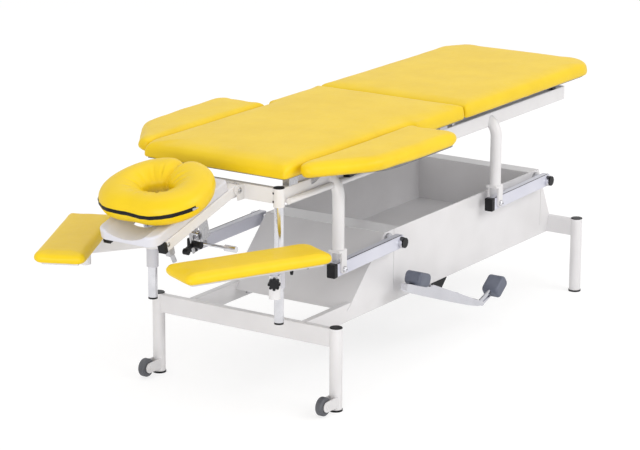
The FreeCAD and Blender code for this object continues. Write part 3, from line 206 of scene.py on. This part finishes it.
# Nodes whose look differs from their slot's
DRESSED = {"head_board": SHELL, "head_bars": WHITE, "head_lugs": WHITE,
           "arm_pad_board_near": SHELL, "arm_pad_board_far": SHELL,
           "sleeve_near": SILVER, "sleeve_far": SILVER,
           "front_arms": ANODIZED, "rear_arms": ANODIZED, "pump_lever": POLISHED}
for node, material in DRESSED.items():
    for slot in frame["nodes"][node].material_slots:
        slot.material = material


# Helpers for meshes

def add_object(name, mesh, material, body, smooth=True):
    """Piece that rides on a body of the frame."""
    obj = bpy.data.objects.new(name, mesh)
    bpy.context.scene.collection.objects.link(obj)
    dress(obj, material)
    if smooth:
        mesh.shade_smooth()
    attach(obj, body)
    return obj


def mesh_of(bm, name):
    mesh = bpy.data.meshes.new(name)
    bm.to_mesh(mesh)
    bm.free()
    return mesh


def rounded(points, radii, steps=8):
    """Outline with its corners rounded."""
    result = []
    count = len(points)
    for i, (corner, radius) in enumerate(zip(points, radii)):
        corner = Vector(corner)
        if radius <= 0:
            result.append(corner)
            continue
        before = (Vector(points[i - 1]) - corner).normalized()
        after = (Vector(points[(i + 1) % count]) - corner).normalized()
        half = before.angle(after) / 2
        reach = radius / math.tan(half)
        centre = corner + (before + after).normalized() * (radius / math.sin(half))
        start = corner + before * reach - centre
        end = corner + after * reach - centre
        for k in range(steps + 1):
            share = k / steps
            mixed = start.lerp(end, share)
            result.append(centre + mixed.normalized() * radius)
    return result


# Outline steps below this length have no direction of their own
SHORT_STEP = 1e-7


def inset_ring(outline):
    """Outline moved inwards by one unit, each point along its mean normal."""
    count = len(outline)
    area = sum(outline[i - 1].x * outline[i].y - outline[i].x * outline[i - 1].y for i in range(count))
    turn = 1 if area > 0 else -1
    moved = []
    for i, point in enumerate(outline):
        a = point - outline[i - 1]
        b = outline[(i + 1) % count] - point
        if a.length < SHORT_STEP:
            a = b
        if b.length < SHORT_STEP:
            b = a
        na = Vector((-a.y, a.x)).normalized() * turn
        nb = Vector((-b.y, b.x)).normalized() * turn
        n = na + nb
        n = n / max(n.length_squared / 2, 0.5) if n.length > 1e-6 else na
        moved.append(point + n)
    return moved


def loft(rings):
    """Closed form through rings of the same number of points."""
    bm = bmesh.new()
    rows = [[bm.verts.new(p) for p in ring] for ring in rings]
    for low, high in zip(rows, rows[1:]):
        for i in range(len(low)):
            j = (i + 1) % len(low)
            bm.faces.new((low[i], low[j], high[j], high[i]))
    bm.faces.new(list(reversed(rows[0])))
    bm.faces.new(rows[-1])
    bmesh.ops.recalc_face_normals(bm, faces=bm.faces)
    return mesh_of(bm, "form")


def evaluated_mesh(obj):
    graph = bpy.context.evaluated_depsgraph_get()
    return bpy.data.meshes.new_from_object(obj.evaluated_get(graph))


def remeshed(mesh, voxel):
    obj = bpy.data.objects.new("blank", mesh)
    bpy.context.scene.collection.objects.link(obj)
    modifier = obj.modifiers.new("remesh", "REMESH")
    modifier.mode = "VOXEL"
    modifier.voxel_size = voxel
    result = evaluated_mesh(obj)
    bpy.data.objects.remove(obj)
    return result


CLOTH_STIFFNESS = 12.0
CLOTH_FRAMES = 12


def inflate(mesh, held, cap, pressure=4.0):
    """Cloth pressure fills the form, each point by no more than cap; held(co) keeps it, from 0 to 1."""
    obj = bpy.data.objects.new("filling", mesh)
    bpy.context.scene.collection.objects.link(obj)
    before = [v.co.copy() for v in mesh.vertices]
    group = obj.vertex_groups.new(name="held")
    for v in mesh.vertices:
        weight = held(v.co)
        if weight > 0:
            group.add([v.index], weight, "REPLACE")
    cloth = obj.modifiers.new("cloth", "CLOTH")
    settings = cloth.settings
    settings.quality = 3
    settings.mass = 0.3
    settings.tension_stiffness = CLOTH_STIFFNESS
    settings.compression_stiffness = CLOTH_STIFFNESS
    settings.shear_stiffness = CLOTH_STIFFNESS / 2
    settings.bending_stiffness = 0.6
    settings.use_pressure = True
    settings.uniform_pressure_force = pressure
    settings.vertex_group_mass = "held"
    settings.pin_stiffness = 1.0
    settings.effector_weights.gravity = 0.0
    cloth.collision_settings.use_collision = False
    scene = bpy.context.scene
    scene.frame_start = 1
    scene.frame_end = CLOTH_FRAMES
    for number in range(1, CLOTH_FRAMES + 1):
        scene.frame_set(number)
    after = evaluated_mesh(obj)
    coords = [v.co.copy() for v in after.vertices]
    scene.frame_set(1)
    obj.modifiers.remove(cloth)
    for v, old, new in zip(mesh.vertices, before, coords):
        step = new - old
        if step.length > cap:
            step = step.normalized() * cap
        v.co = old + step
    bpy.data.meshes.remove(after)
    bpy.data.objects.remove(obj)
    return mesh


def smoothed(mesh, factor, repeat):
    bm = bmesh.new()
    bm.from_mesh(mesh)
    for _ in range(repeat):
        bmesh.ops.smooth_vert(bm, verts=bm.verts, factor=factor,
                              use_axis_x=True, use_axis_y=True, use_axis_z=True)
    bm.to_mesh(mesh)
    bm.free()
    return mesh


def subdivided(mesh):
    obj = bpy.data.objects.new("finer", mesh)
    bpy.context.scene.collection.objects.link(obj)
    modifier = obj.modifiers.new("subdivide", "SUBSURF")
    modifier.levels = 1
    modifier.render_levels = 1
    result = evaluated_mesh(obj)
    bpy.data.objects.remove(obj)
    return result


# Cushions

def resampled(outline, spacing=0.014):
    """The same outline with its long stretches divided."""
    result = []
    for i, b in enumerate(outline):
        a = outline[i - 1]
        parts = max(1, round((b - a).length / spacing))
        result += [a.lerp(b, (k + 1) / parts) for k in range(parts)]
    return result


def moved_in(outline, amounts):
    """Outline with each point moved inwards by its own amount."""
    full = inset_ring(outline)
    return [p + (q - p) * amount for p, q, amount in zip(outline, full, amounts)]


# Rise above the underside and inset there, for each ring of a cushion's lower edge
PLAIN_UNDER = ((0, 0.009), (0.0015, 0.004), (0.005, 0.0010), (0.011, 0.0))
DEEP_UNDER = ((0, 0.026), (0.003, 0.016), (0.008, 0.007), (0.016, 0.0))
# Rings of the rounded top edge
TOP_RINGS = 8


def pad_form(points, radii, z0, z1, edge, softness, under):
    """Upholstered slab; softness(p) scales the rounding of its top edge along the outline."""
    outline = resampled(rounded(points, radii))
    shares = [softness(p) for p in outline]
    rings = []
    for rise, inset in under:
        low = moved_in(outline, [inset * s for s in shares])
        rings.append([Vector((p.x, p.y, z0 + rise)) for p in low])
    for k in range(TOP_RINGS):
        angle = math.radians(90 * k / (TOP_RINGS - 1))
        flat = moved_in(outline, [1.15 * edge * share * (1 - math.cos(angle)) for share in shares])
        drop = edge * (1 - math.sin(angle))
        rings.append([Vector((p.x, p.y, z1 - drop * share)) for p, share in zip(flat, shares)])
    flat = moved_in(outline, [edge * 1.8 * share for share in shares])
    rings.append([Vector((p.x, p.y, z1)) for p in flat])
    return loft(rings)


def edge_distance(co, outline):
    """Distance of a point from an outline, in plan."""
    best = 1.0
    spot = Vector((co.x, co.y))
    for i, b in enumerate(outline):
        a = outline[i - 1]
        step = b - a
        share = max(0.0, min(1.0, (spot - a).dot(step) / max(step.length_squared, 1e-12)))
        best = min(best, (a + step * share - spot).length)
    return best


# The top rises over this distance from the rim, and puckers stay this near it
CROWN_REACH = 0.13
PUCKER_REACH = 0.02


def crowned(mesh, points, z0, z1, rise, puckers):
    """Foam stands highest in the middle, and the vinyl gathers a little along its stapled rim."""
    outline = [Vector(p) for p in points]
    for v in mesh.vertices:
        away = edge_distance(v.co, outline)
        if v.co.z > z0 + 0.6 * (z1 - z0):
            v.co.z += rise * min(1.0, away / CROWN_REACH) ** 0.7
        low = max(0.0, 1 - (v.co.z - z0) / (0.5 * (z1 - z0)))
        if away < PUCKER_REACH:
            wave = noise.noise(Vector((v.co.x * 26, v.co.y * 26, 0.3))) + 0.5 * noise.noise(v.co * 70)
            push = puckers * low * wave
            outward = Vector((v.co.x - sum(p.x for p in outline) / len(outline),
                              v.co.y - sum(p.y for p in outline) / len(outline), 0)).normalized()
            v.co += outward * push
        v.co.z += 0.0006 * noise.noise(Vector((v.co.x * 7, v.co.y * 7, v.co.z * 3)))
    return mesh


def all_round(p):
    return 1.0


# The cloth keeps everything below this height over the board
HELD_HEIGHT = 0.008


def cushion(name, node, body, points, radii, z0, z1, voxel=0.011, cap=0.0035, place=None, edge=0.017,
            rise=0.004, puckers=0.0012, softness=all_round, under=PLAIN_UNDER):
    """Filled cushion between z0 and z1 in place of a node; place moves it from its own frame."""
    mesh = remeshed(pad_form(points, radii, z0, z1, edge, softness, under), voxel)

    def held(co):
        return 1.0 if co.z < z0 + HELD_HEIGHT else 0.0

    mesh = smoothed(inflate(mesh, held, cap), 0.5, 1)
    mesh = crowned(subdivided(mesh), points, z0, z1, rise, puckers)
    if place is not None:
        mesh.transform(place)
    obj = add_object(name, mesh, VINYL, body)
    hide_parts(node)
    return obj


def flip(points, side):
    return [(x, y * -side) for x, y in points]


# Main cushion: narrower between the wings, wider behind them
NECK = 0.229
WIDE = 0.252
FRONT = -0.587
STEP_X = 0.012
MAIN_END = 0.272
LEG_START = 0.274
LEG_END = 1.048
MAIN = [(FRONT, -NECK), (STEP_X, -NECK), (STEP_X, -WIDE), (MAIN_END, -WIDE),
        (MAIN_END, WIDE), (STEP_X, WIDE), (STEP_X, NECK), (FRONT, NECK)]
LEG = [(LEG_START, -WIDE), (LEG_END, -WIDE), (LEG_END, WIDE), (LEG_START, WIDE)]
# Near wing; the far one is its mirror image
WING = [(-0.604, -0.232), (-0.385, -0.381), (-0.200, -0.396), (0.003, -0.396), (0.000, -0.232)]
# Rounding of an edge at a seam, on an open side and at the front, as shares of the full one
SEAM_SHARE = 0.42
SIDE_SHARE = 0.9
FRONT_SHARE = 1.25


def between(low, high, value):
    """Smooth step from 0 at low to 1 at high."""
    share = max(0.0, min(1.0, (value - low) / (high - low)))
    return share * share * (3 - 2 * share)


def main_softness(p):
    """Large at the free front edge, small where a wing or the leg section adjoins."""
    side = SEAM_SHARE + (SIDE_SHARE - SEAM_SHARE) * between(STEP_X - 0.01, STEP_X + 0.03, p.x)
    side += (SEAM_SHARE - SIDE_SHARE) * between(0.24, 0.27, p.x)
    return side + (FRONT_SHARE - SEAM_SHARE) * between(-FRONT - 0.045, -FRONT - 0.010, -p.x)


def leg_softness(p):
    return SEAM_SHARE + (SIDE_SHARE - SEAM_SHARE) * between(0.278, 0.31, p.x)


def wing_softness(p):
    return SEAM_SHARE + (1.0 - SEAM_SHARE) * between(0.235, 0.262, abs(p.y))


cushion("main_cushion", "main_pad", "upper_frame", MAIN,
        [0.010, 0.004, 0.012, 0.004, 0.004, 0.012, 0.004, 0.010], PAD_Z0, PAD_Z1 - 0.001,
        edge=0.020, softness=main_softness)
cushion("leg_cushion", "leg_pad", "leg_section", LEG, [0.004, 0.085, 0.085, 0.004],
        PAD_Z0, PAD_Z1 - 0.002, softness=leg_softness)
for side, sign in SIDES.items():
    cushion("wing_cushion_" + side, "wing_pad_" + side, "wing_" + side, flip(WING, sign),
            [0.024, 0.140, 0.500, 0.040, 0.010], PAD_Z0, PAD_Z1 - 0.004, voxel=0.009, rise=0.003,
            softness=wing_softness, under=DEEP_UNDER)

ARM_HALF_L = 0.205
ARM_HALF_W = 0.067
ARM_PAD_T = 0.027


def arm_place(side):
    """Level arm support: x along its board, origin on its stem."""
    sign = SIDES[side]
    swing = SWINGS[side]
    stem = Vector((ARM_X - SWING_L * math.cos(swing), sign * (ARM_Y + SWING_L * math.sin(swing)), 0))
    return Matrix.Translation(stem) @ Matrix.Rotation(sign * ARM_PAD_TURN, 4, "Z")


for side in SIDES:
    shift = PAD_SHIFT[side]
    shape = [(-shift - ARM_HALF_L, -ARM_HALF_W), (-shift + ARM_HALF_L, -ARM_HALF_W),
             (-shift + ARM_HALF_L, ARM_HALF_W), (-shift - ARM_HALF_L, ARM_HALF_W)]
    low = ARM_PAD_Z[side]
    cushion("arm_cushion_" + side, "arm_pad_" + side, "arm_rest_" + side, shape, [0.020] * 4,
            low, low + ARM_PAD_T, voxel=0.008, place=arm_place(side), edge=0.012, rise=0.002, cap=0.002)


def head_place():
    """Level head section: x away from the hinge, z up from its axis."""
    flipx = Matrix(((-1, 0, 0, 0), (0, 1, 0, 0), (0, 0, 1, 0), (0, 0, 0, 1)))
    return Matrix.Translation(HEAD_AT) @ Matrix.Rotation(-HEAD_TILT, 4, "Y") @ flipx


HEAD_PLACE = head_place()
# Face cushion: distance of its middle from the hinge, height of its underside, thickness
RING_S = 0.188
RING_N = 0.0410
RING_T = 0.0745
RING_STEPS = 140
SECTION_STEPS = 40
# Angles round the ring, in radians: half width of the crease, half gap in it, ends of the zip
CREASE = 0.33
CREASE_GAP = 0.012
ZIP_FROM = math.radians(118)
ZIP_TO = math.radians(254)
ZIP_HALF = 0.0052


def swell(degrees, at, width, size):
    """Bulge of the ring's outline round an angle."""
    return size * math.exp(-((degrees - at) / width) ** 2)


def ring_radii(theta):
    """Outer and inner radius of the horseshoe; theta runs round from its crease at the hinge side."""
    away = math.degrees(min(theta, 2 * math.pi - theta))
    outer = (0.1415 + swell(away, 115, 28, 0.010) - swell(away, 180, 24, 0.019)
             + swell(away, 40, 20, 0.003))
    inner = 1 / math.hypot(math.cos(theta) / 0.030, math.sin(theta) / 0.042)
    return outer, inner


def ring_point(theta, phi):
    """phi runs round the horseshoe's section, from its outer side over the top."""
    outer, inner = ring_radii(theta)
    away = min(theta, 2 * math.pi - theta)
    lobe = 1.0
    if away < CREASE:
        lobe = math.sqrt(max(0.0, 1 - (1 - away / CREASE) ** 2))
    middle = (outer + inner) / 2
    half = (outer - inner) / 2 * (0.45 + 0.55 * lobe)
    high = RING_T / 2 * (0.30 + 0.70 * lobe)
    c = math.cos(phi)
    s = math.sin(phi)
    r = middle + half * math.copysign(abs(c) ** 0.85, c)
    z = high * math.copysign(abs(s) ** (0.70 if s < 0 else 0.92), s)
    lean = 0.42 * max(0.0, -c) * max(0.0, s) * high
    return Vector((RING_S - r * math.cos(theta), r * math.sin(theta), RING_N + RING_T / 2 + z - lean))


def ring_cushion():
    """Filled horseshoe with folds round its hole and a gathered rim."""
    rings = []
    for i in range(RING_STEPS + 1):
        theta = CREASE_GAP + (2 * math.pi - 2 * CREASE_GAP) * i / RING_STEPS
        rings.append([ring_point(theta, 2 * math.pi * k / SECTION_STEPS) for k in range(SECTION_STEPS)])
    mesh = remeshed(loft(rings), 0.0065)

    def held(co):
        return 1.0 if co.z < RING_N + 0.004 else 0.0

    mesh = smoothed(inflate(mesh, held, 0.003, pressure=3.0), 0.5, 2)
    mesh = subdivided(mesh)
    for v in mesh.vertices:
        local = v.co - Vector((RING_S, 0, 0))
        theta = math.atan2(local.y, -local.x)
        radius = math.hypot(local.x, local.y)
        top = min(1.0, max(0.0, (v.co.z - RING_N - 0.022) / 0.035))
        near = math.exp(-((radius - 0.052) / 0.024) ** 2)
        wander = 1.4 * noise.noise(Vector((local.x * 14, local.y * 14, 0.5)))
        fold = (abs(math.sin(theta * 8.5 + wander)) ** 0.6
                + 0.5 * abs(math.sin(theta * 15 + 2 * wander + 0.7)) - 0.9)
        v.co.z += top * near * fold * 0.0042
        rim = math.exp(-((v.co.z - RING_N - 0.030) / 0.016) ** 2) * between(0.105, 0.125, radius)
        gather = noise.noise(Vector((theta * 9, 0.2, v.co.z * 20)))
        v.co += Vector((local.x, local.y, 0)).normalized() * rim * gather * 0.0022
    return mesh


def surface_tree(surface):
    return BVHTree.FromPolygons([v.co for v in surface.vertices],
                                [p.vertices for p in surface.polygons])


ZIP_STEPS = 150
ZIP_LEVEL = RING_N + RING_T * 0.50
# Across the zip: place as a share of its half width, and height over the cover
ZIP_LANES = [(-1.0, -0.0006), (-0.98, 0.0006), (-0.30, 0.0007), (-0.22, 0.0017),
             (0.22, 0.0017), (0.30, 0.0007), (0.98, 0.0006), (1.0, -0.0006)]


def zip_band(tree):
    """Woven tape with a raised row of teeth along the side of the cover, laid onto its surface."""
    bm = bmesh.new()
    rows = []
    for i in range(ZIP_STEPS + 1):
        theta = ZIP_FROM + (ZIP_TO - ZIP_FROM) * (i / ZIP_STEPS)
        outer, _ = ring_radii(theta)
        level = ZIP_LEVEL + 0.0016 * math.sin(theta * 5)
        row = []
        for lane, rise in ZIP_LANES:
            tooth = 0.0003 * (i % 2) if abs(lane) < 0.25 else 0.0
            guess = Vector((RING_S - outer * math.cos(theta), outer * math.sin(theta),
                            level + lane * ZIP_HALF))
            point, normal, _, _ = tree.find_nearest(guess)
            row.append(bm.verts.new(point + normal * (rise + tooth)))
        rows.append(row)
    for a, b in zip(rows, rows[1:]):
        for k in range(len(a) - 1):
            bm.faces.new((a[k], b[k], b[k + 1], a[k + 1]))
    for row in (rows[0], list(reversed(rows[-1]))):
        bm.faces.new(row)
    bmesh.ops.recalc_face_normals(bm, faces=bm.faces)
    return mesh_of(bm, "zip")


# Slider and its pull: length, width, height from and to, and start along the zip
SLIDER_PARTS = ((0.009, 0.006, 0.0, 0.0028, -0.004), (0.010, 0.003, 0.0030, 0.0040, 0.002))


def zip_slider(tree):
    """Slider with its pull, at the far end of the zip."""
    theta = ZIP_TO - 0.06
    outer, _ = ring_radii(theta)
    guess = Vector((RING_S - outer * math.cos(theta), outer * math.sin(theta), ZIP_LEVEL))
    point, normal, _, _ = tree.find_nearest(guess)
    along = Vector((outer * math.sin(theta), outer * math.cos(theta), 0)).normalized()
    across = normal.cross(along).normalized()
    frame_of = Matrix((along, across, normal)).transposed().to_4x4()
    frame_of.translation = point + normal * 0.0006
    bm = bmesh.new()
    for length, width, low, high, start in SLIDER_PARTS:
        plan = rounded([(start, -width / 2), (start + length, -width / 2),
                        (start + length, width / 2), (start, width / 2)], [width * 0.3] * 4, 4)
        made = [[bm.verts.new(frame_of @ Vector((p.x, p.y, z))) for p in plan] for z in (low, high)]
        for i in range(len(plan)):
            j = (i + 1) % len(plan)
            bm.faces.new((made[0][i], made[0][j], made[1][j], made[1][i]))
        bm.faces.new(list(reversed(made[0])))
        bm.faces.new(made[1])
    return mesh_of(bm, "slider")


face_mesh = ring_cushion()
cover = surface_tree(face_mesh)
band_mesh = zip_band(cover)
slider_mesh = zip_slider(cover)
for mesh in (face_mesh, band_mesh, slider_mesh):
    mesh.transform(HEAD_PLACE)
face = add_object("face_cushion", face_mesh, VINYL, "headrest")
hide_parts("head_cushion")
add_object("face_cushion_zip", band_mesh, BLACK, "headrest", smooth=False)
add_object("face_cushion_slider", slider_mesh, ZINC, "headrest", smooth=False)


# Fasteners: button heads with a hexagon socket
HEAD_TURNS = 36


def button_head(name, at, axis, radius, body, material=ZINC, height=None, washer=1.3):
    """Screw head standing on its washer; at is on the carrying face, axis points out of it."""
    if height is None:
        height = radius * 0.55
    thin = radius * 0.16
    profile = [(radius * washer, -0.0004), (radius * washer, thin * 0.7),
               (radius * (washer - 0.05), thin), (radius, thin), (radius * 0.98, height * 0.55),
               (radius * 0.85, height * 0.84), (radius * 0.62, height)]
    bm = bmesh.new()
    rows = []
    for r, z in profile:
        row = []
        for k in range(HEAD_TURNS):
            angle = 2 * math.pi * k / HEAD_TURNS
            row.append(bm.verts.new((r * math.cos(angle), r * math.sin(angle), z)))
        rows.append(row)
    flat = radius * 0.40
    for z in (height, height * 0.30):
        row = []
        for k in range(HEAD_TURNS):
            angle = 2 * math.pi * k / HEAD_TURNS
            corner = (angle + math.pi / 6) % (math.pi / 3) - math.pi / 6
            r = flat / math.cos(corner)
            row.append(bm.verts.new((r * math.cos(angle), r * math.sin(angle), z)))
        rows.append(row)
    for a, b in zip(rows, rows[1:]):
        for k in range(HEAD_TURNS):
            j = (k + 1) % HEAD_TURNS
            bm.faces.new((a[k], a[j], b[j], b[k]))
    bm.faces.new(rows[-1])
    bm.faces.new(list(reversed(rows[0])))
    mesh = mesh_of(bm, name)
    turn = Vector((0, 0, 1)).rotation_difference(Vector(axis).normalized()).to_matrix().to_4x4()
    turn.translation = Vector(at)
    mesh.transform(turn)
    mesh.shade_smooth()
    add_object(name, mesh, material, body, smooth=False)
    mesh.set_sharp_from_angle(angle=math.radians(40))


def solids_of(node):
    """Lowest and highest corner of each loose solid of a node."""
    bm = bmesh.new()
    bm.from_mesh(frame["nodes"][node].data)
    bmesh.ops.remove_doubles(bm, verts=bm.verts, dist=1e-6)
    left = set(bm.verts)
    found = []
    for first in bm.verts:
        if first not in left:
            continue
        left.discard(first)
        stack = [first]
        group = []
        while stack:
            v = stack.pop()
            group.append(v.co.copy())
            for e in v.link_edges:
                other = e.other_vert(v)
                if other in left:
                    left.discard(other)
                    stack.append(other)
        found.append((Vector([min(c[i] for c in group) for i in range(3)]),
                      Vector([max(c[i] for c in group) for i in range(3)])))
    bm.free()
    return found


for low, high in solids_of("hanger_pins"):
    out = -1 if low.y + high.y < 0 else 1
    face_y = low.y if out < 0 else high.y
    end = "front" if low.x < 0 else "rear"
    side = "near" if out < 0 else "far"
    middle = (low + high) / 2
    button_head("hanger_screw_%s_%s" % (end, side), (middle.x, face_y, middle.z), (0, out, 0),
                (high.x - low.x) * 0.44, "upper_frame", CHROME, washer=1.05)

# Outer face of the hinge lugs
LUG_FACE = 0.1043
# Headrest screws: name, distance from the hinge, height, reach to the side, radius
HEAD_SCREWS = (("board", 0.2256, 0.0341, 0.091, 0.0052), ("bar", 0.2990, 0.0030, 0.095, 0.0048))
# Screws under an arm board: place along and across it, radius, height
ARM_SCREWS = ((0.024, 0.042, 0.0045, 0.011), (0.072, 0.037, 0.004, 0.004),
              (-0.172, 0.031, 0.004, 0.004))
ARM_BOARD_T = 0.006

for side, sign in SIDES.items():
    out = int(sign)
    button_head("lug_screw_" + side, (HEAD_AT.x, out * LUG_FACE, HEAD_AT.z), (0, out, 0), 0.0060,
                "headrest")
    for part, along, above, reach, radius in HEAD_SCREWS:
        spot = HEAD_PLACE @ Vector((along, out * reach, above))
        button_head("head_%s_screw_%s" % (part, side), spot, (0, out, 0), radius, "headrest")
    for number, (x, y, radius, height) in enumerate(ARM_SCREWS):
        spot = arm_place(side) @ Vector((x, out * y, 0))
        spot.z = ARM_PAD_Z[side] - ARM_BOARD_T
        button_head("arm_board_screw_%s_%d" % (side, number), spot, (0, 0, -1), radius,
                    "arm_rest_" + side, BLACK, height)


BLOCK_FACES = ((0, 1, 2, 3), (7, 6, 5, 4), (0, 4, 5, 1), (1, 5, 6, 2), (2, 6, 7, 3), (3, 7, 4, 0))


def strip(name, corners, material, body):
    """Eight corners: four of one end, then the same four of the other."""
    bm = bmesh.new()
    v = [bm.verts.new(c) for c in corners]
    for face in BLOCK_FACES:
        bm.faces.new([v[i] for i in face])
    bmesh.ops.recalc_face_normals(bm, faces=bm.faces)
    add_object(name, mesh_of(bm, name), material, body, smooth=False)


def block(low, high):
    """Corners of a level box in the order of strip()."""
    ends = []
    for x in (low[0], high[0]):
        ends += [Vector((x, low[1], low[2])), Vector((x, high[1], low[2])),
                 Vector((x, high[1], high[2])), Vector((x, low[1], high[2]))]
    return ends


# Painted shade: black strips laid in the groove along the top of each lift arm, in the arm's own frame
SHAFT_X = {"front_arms": -0.047, "rear_arms": 0.775}
SHAFT_Z = 0.355
ARM_SLOPE = math.radians(1.0)
ARM_TOP = 0.0175
GROOVE_SHADE_FROM = -0.311
GROOVE_SHADE_TO = 0.008
GROOVE_SHADE_Y = 0.2328
GROOVE_SHADE_HALF = 0.0013
for body, shaft_x in SHAFT_X.items():
    turn = Matrix.Translation((shaft_x, 0, SHAFT_Z)) @ Matrix.Rotation(-ARM_SLOPE, 4, "Y")
    for side, sign in SIDES.items():
        corners = block((GROOVE_SHADE_FROM, sign * GROOVE_SHADE_Y - GROOVE_SHADE_HALF, ARM_TOP - 0.001),
                        (GROOVE_SHADE_TO, sign * GROOVE_SHADE_Y + GROOVE_SHADE_HALF, ARM_TOP + 0.0003))
        strip("%s_seam_%s" % (body, side), [turn @ c for c in corners], BLACK, body)

# Battens that carry the main cushion on the side rails
RAIL_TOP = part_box("top_rails")[1].z
BATTEN_FROM = -0.545
BATTEN_TO = 0.232
BATTEN_Y = 0.199
BATTEN_HALF = 0.003
for side, sign in SIDES.items():
    corners = block((BATTEN_FROM, sign * BATTEN_Y - BATTEN_HALF, RAIL_TOP),
                    (BATTEN_TO, sign * BATTEN_Y + BATTEN_HALF, PAD_Z0 - 0.0015))
    strip("pad_batten_" + side, corners, SHELL, "upper_frame")

# Painted shade: a black strip in the channel of the pump lever, in the lever's own frame
LEVER_AT = Vector((0.215, -0.252, 0.141))
LEVER_SLOPE = math.radians(19.5)
CHANNEL_SHADE_HALF = 0.0068
CHANNEL_SHADE_T = 0.004
# Ends of the painted shade strip: place along the lever and height of its top
CHANNEL_SHADE_ENDS = ((-0.150, 0.0135), (0.128, 0.0035))
lever_turn = Matrix.Translation(LEVER_AT) @ Matrix.Rotation(LEVER_SLOPE, 4, "Y")
corners = []
for along, top in CHANNEL_SHADE_ENDS:
    corners += [Vector((along, -CHANNEL_SHADE_HALF, top - CHANNEL_SHADE_T)), Vector((along, CHANNEL_SHADE_HALF, top - CHANNEL_SHADE_T)),
                Vector((along, CHANNEL_SHADE_HALF, top)), Vector((along, -CHANNEL_SHADE_HALF, top))]
strip("lever_channel_shade", [lever_turn @ c for c in corners], BLACK, "pump_lever")


# Camera, lights, world and floor

AZIMUTH = math.radians(-56.68)
ELEVATION = math.radians(15.19)
ROLL = math.radians(0.27)
TARGET = Vector((-0.0389, 0.0306, 0.3602))
DISTANCE = 7.117
SENSOR = 36.0
LENS = 145.575

back = Vector((math.sin(AZIMUTH) * math.cos(ELEVATION), -math.cos(AZIMUTH) * math.cos(ELEVATION),
               math.sin(ELEVATION)))
right = Vector((math.cos(AZIMUTH), math.sin(AZIMUTH), 0))
up = back.cross(right)
turned_right = right * math.cos(ROLL) + up * math.sin(ROLL)
turned_up = up * math.cos(ROLL) - right * math.sin(ROLL)
camera_data = bpy.data.cameras.new("camera")
camera_data.sensor_width = SENSOR
camera_data.lens = LENS
camera = bpy.data.objects.new("camera", camera_data)
bpy.context.scene.collection.objects.link(camera)
place = Matrix((turned_right, turned_up, back)).transposed().to_4x4()
place.translation = TARGET + back * DISTANCE
camera.matrix_world = place
bpy.context.scene.camera = camera


def area_light(name, location, target, size, power):
    """Rectangular lamp of the given width and height in metres, aimed at its target."""
    data = bpy.data.lights.new(name, "AREA")
    data.shape = "RECTANGLE"
    data.size = size[0]
    data.size_y = size[1]
    data.energy = power
    light = bpy.data.objects.new(name, data)
    light.location = location
    light.rotation_euler = (Vector(target) - Vector(location)).to_track_quat("-Z", "Y").to_euler()
    bpy.context.scene.collection.objects.link(light)


area_light("key", (0.8, -4.2, 3.0), (0, 0, 0.3), (3.0, 2.2), 78)
area_light("fill", (-4.6, -1.4, 1.0), (0, 0, 0.35), (2.6, 1.6), 66)
area_light("top", (0.4, 0.4, 4.4), (0, 0, 0.3), (3.4, 2.6), 22)


def seen_directly(tree):
    """1 for camera, glossy and transmission rays, else 0."""
    path = tree.nodes.new("ShaderNodeLightPath")
    first = tree.nodes.new("ShaderNodeMath")
    first.operation = "MAXIMUM"
    second = tree.nodes.new("ShaderNodeMath")
    second.operation = "MAXIMUM"
    tree.links.new(path.outputs["Is Camera Ray"], first.inputs[0])
    tree.links.new(path.outputs["Is Glossy Ray"], first.inputs[1])
    tree.links.new(first.outputs[0], second.inputs[0])
    tree.links.new(path.outputs["Is Transmission Ray"], second.inputs[1])
    return second.outputs[0]


world = bpy.data.worlds.new("studio")
bpy.context.scene.world = world
world.use_nodes = True
tree = world.node_tree
tree.nodes.clear()
output = tree.nodes.new("ShaderNodeOutputWorld")
mix = tree.nodes.new("ShaderNodeMixShader")
shown = tree.nodes.new("ShaderNodeBackground")
shown.inputs[0].default_value = (1, 1, 1, 1)
shown.inputs[1].default_value = 1.0
lit = tree.nodes.new("ShaderNodeBackground")
lit.inputs[0].default_value = (1, 0.975, 0.96, 1)
lit.inputs[1].default_value = 0.80
tree.links.new(seen_directly(tree), mix.inputs[0])
tree.links.new(lit.outputs[0], mix.inputs[1])
tree.links.new(shown.outputs[0], mix.inputs[2])
tree.links.new(mix.outputs[0], output.inputs[0])


def floor_material():
    """Pale floor that keeps shadows where it is seen, and a plain one for the light it throws."""
    made = bpy.data.materials.new("pale_floor")
    made.use_nodes = True
    tree = made.node_tree
    tree.nodes.clear()
    out = tree.nodes.new("ShaderNodeOutputMaterial")
    mix = tree.nodes.new("ShaderNodeMixShader")
    plain = tree.nodes.new("ShaderNodeBsdfDiffuse")
    plain.inputs[0].default_value = (0.8, 0.8, 0.8, 1)
    add = tree.nodes.new("ShaderNodeAddShader")
    glow = tree.nodes.new("ShaderNodeEmission")
    glow.inputs[0].default_value = (1, 1, 1, 1)
    glow.inputs[1].default_value = 0.73
    part = tree.nodes.new("ShaderNodeBsdfDiffuse")
    part.inputs[0].default_value = (0.33, 0.33, 0.33, 1)
    tree.links.new(glow.outputs[0], add.inputs[0])
    tree.links.new(part.outputs[0], add.inputs[1])
    tree.links.new(seen_directly(tree), mix.inputs[0])
    tree.links.new(plain.outputs[0], mix.inputs[1])
    tree.links.new(add.outputs[0], mix.inputs[2])
    tree.links.new(mix.outputs[0], out.inputs[0])
    return made


FLOOR_HALF = 40
bm = bmesh.new()
bmesh.ops.create_grid(bm, x_segments=1, y_segments=1, size=FLOOR_HALF)
floor = bpy.data.objects.new("floor", mesh_of(bm, "floor"))
bpy.context.scene.collection.objects.link(floor)
dress(floor, floor_material())

bpy.context.scene.view_settings.view_transform = "Standard"
